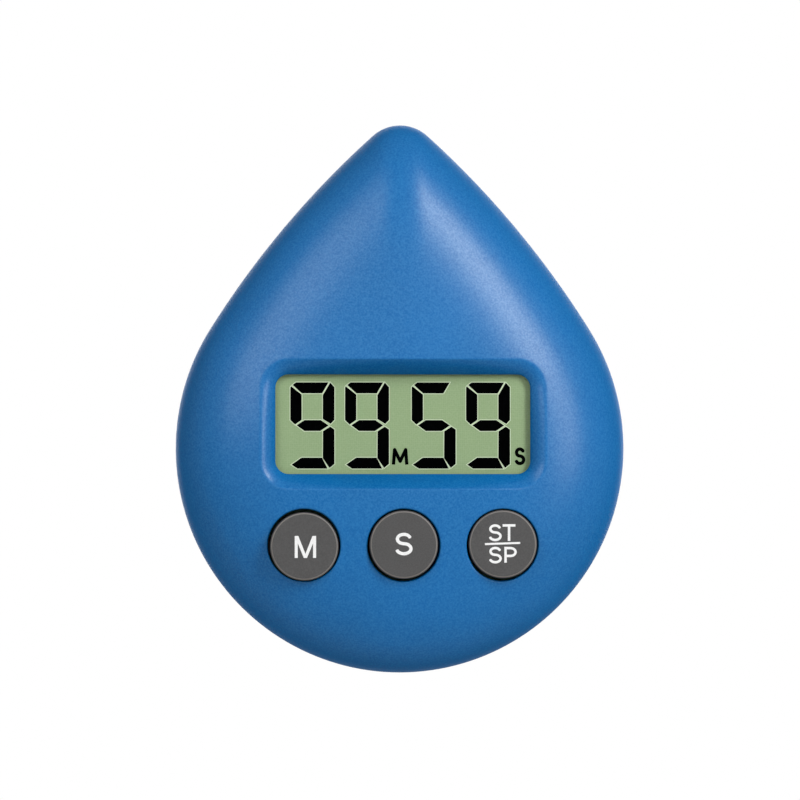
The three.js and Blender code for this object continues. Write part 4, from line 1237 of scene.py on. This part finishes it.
def awayFrom(azimuth, elevation):  # direction from the timer, in degrees from its front
    turn, up = math.radians(azimuth), math.radians(elevation)
    return Vector((math.sin(turn) * math.cos(up), -math.cos(turn) * math.cos(up), math.sin(up)))


def stand(name, data, target, away, distance):  # a camera or lamp that looks at a point
    stood = addToScene(name, data)
    stood.location = target + away * distance
    stood.rotation_mode = "QUATERNION"
    stood.rotation_quaternion = (-away).to_track_quat("-Z", "Y")
    return stood


# camera, at the photograph's angle; pixel is a photograph pixel in millimetres
cameraView = {
    "azimuth": -2.4, "elevation": -1.0, "distance": 0.7, "aimX": 0.07, "aimY": 8.12,
    "pixel": 0.16779, "pixels": 800,
}


def makeCamera(look):
    data = bpy.data.cameras.new("camera")
    target = spot(look["aimX"], look["aimY"], partingZ)
    away = awayFrom(look["azimuth"], look["elevation"])
    data.lens = data.sensor_width * look["distance"] / (look["pixels"] * look["pixel"] * mm)
    data.clip_start = 0.01
    bpy.context.scene.camera = stand("camera", data, target, away, look["distance"])


makeCamera(cameraView)

# studio: soft boxes, a pale floor well below that fades into a white room
studio = {
    "ambient": 0.05, "floorTone": (0.5, 0.5, 0.49), "floorTint": (0.98, 1.02),
    "floorGrain": (40, 4), "floorRough": 0.9, "floorWhite": 0.6, "fade": (0.2, 1.0),
    "floorDrop": 0.12, "floorRadius": 1.6, "floorSides": 96,
    "boxes": {
        "rightBox": {"turn": 37.5, "up": 29, "far": 0.9, "width": 0.22, "height": 0.42, "power": 5},
        "rightLow": {"turn": 45, "up": 5, "far": 0.9, "width": 0.2, "height": 0.3, "power": 1.6},
        "leftBox": {"turn": -37, "up": 25, "far": 0.9, "width": 0.45, "height": 0.6, "power": 3.0},
        "frontBox": {"turn": 0, "up": 14, "far": 0.9, "width": 0.4, "height": 0.4, "power": 0.45},
        "backBox": {"turn": 174, "up": 10, "far": 1.0, "width": 1.3, "height": 1.1, "power": 10},
    },
}


def seenRays(shader):  # 1 where the eye, a gloss or a clear piece looks
    seen = shader.node("LightPath", {}, {}, "Is Camera Ray")
    for kind in ("Is Glossy Ray", "Is Transmission Ray"):
        seen = seen.math("MAXIMUM", seen, shader.node("LightPath", {}, {}, kind))
    return seen


def makeFloor(look):
    level = cadBox[0].z - look["floorDrop"]
    outline = circle(0, 0, look["floorRadius"], look["floorSides"])
    ring = [(x, y, level) for x, y in outline]
    mesh = bpy.data.meshes.new("floor")
    mesh.from_pydata(ring, [], [tuple(range(len(ring)))])
    floor = addToScene("floor", mesh)
    shader = finish("floorPaper")
    base = shader.tint(shader.noise(*look["floorGrain"]), look["floorTone"], *look["floorTint"])
    paper = shader.node(
        "BsdfPrincipled", {}, {"Base Color": base, "Roughness": look["floorRough"]})
    white = shader.node("Emission", {}, {"Strength": 1.0})
    far = shader.node("VectorMath", {"operation": "LENGTH"}, {0: shader.place()}, "Value")
    near, end = look["fade"]
    share = far.above((near + end) / 2, (end - near) / 2)
    share = share.math("MAXIMUM", share, look["floorWhite"]) * seenRays(shader)
    mesh.materials.append(shader.show(shader.node("MixShader", {}, {0: share, 1: paper, 2: white})))


def makeStudio(look):
    world = bpy.data.worlds.new("studio")
    bpy.context.scene.world = world
    shader = Shader(world)
    around = shader.node("Background", {}, {"Color": (1, 1, 1, 1), "Strength": look["ambient"]})
    white = shader.node("Background", {}, {"Color": (1, 1, 1, 1), "Strength": 1})
    shader.show(shader.node("MixShader", {}, {0: seenRays(shader), 1: around, 2: white}))
    target = spot(0, 0, partingZ)
    for name, box in look["boxes"].items():
        data = bpy.data.lights.new(name, "AREA")
        data.shape, data.size, data.size_y = "RECTANGLE", box["width"], box["height"]
        data.energy = box["power"]
        lamp = stand(name, data, target, awayFrom(box["turn"], box["up"]), box["far"])
        lamp.visible_camera = False
    makeFloor(look)


makeStudio(studio)
bpy.context.scene.view_settings.view_transform = "Standard"
print("camera and studio made")
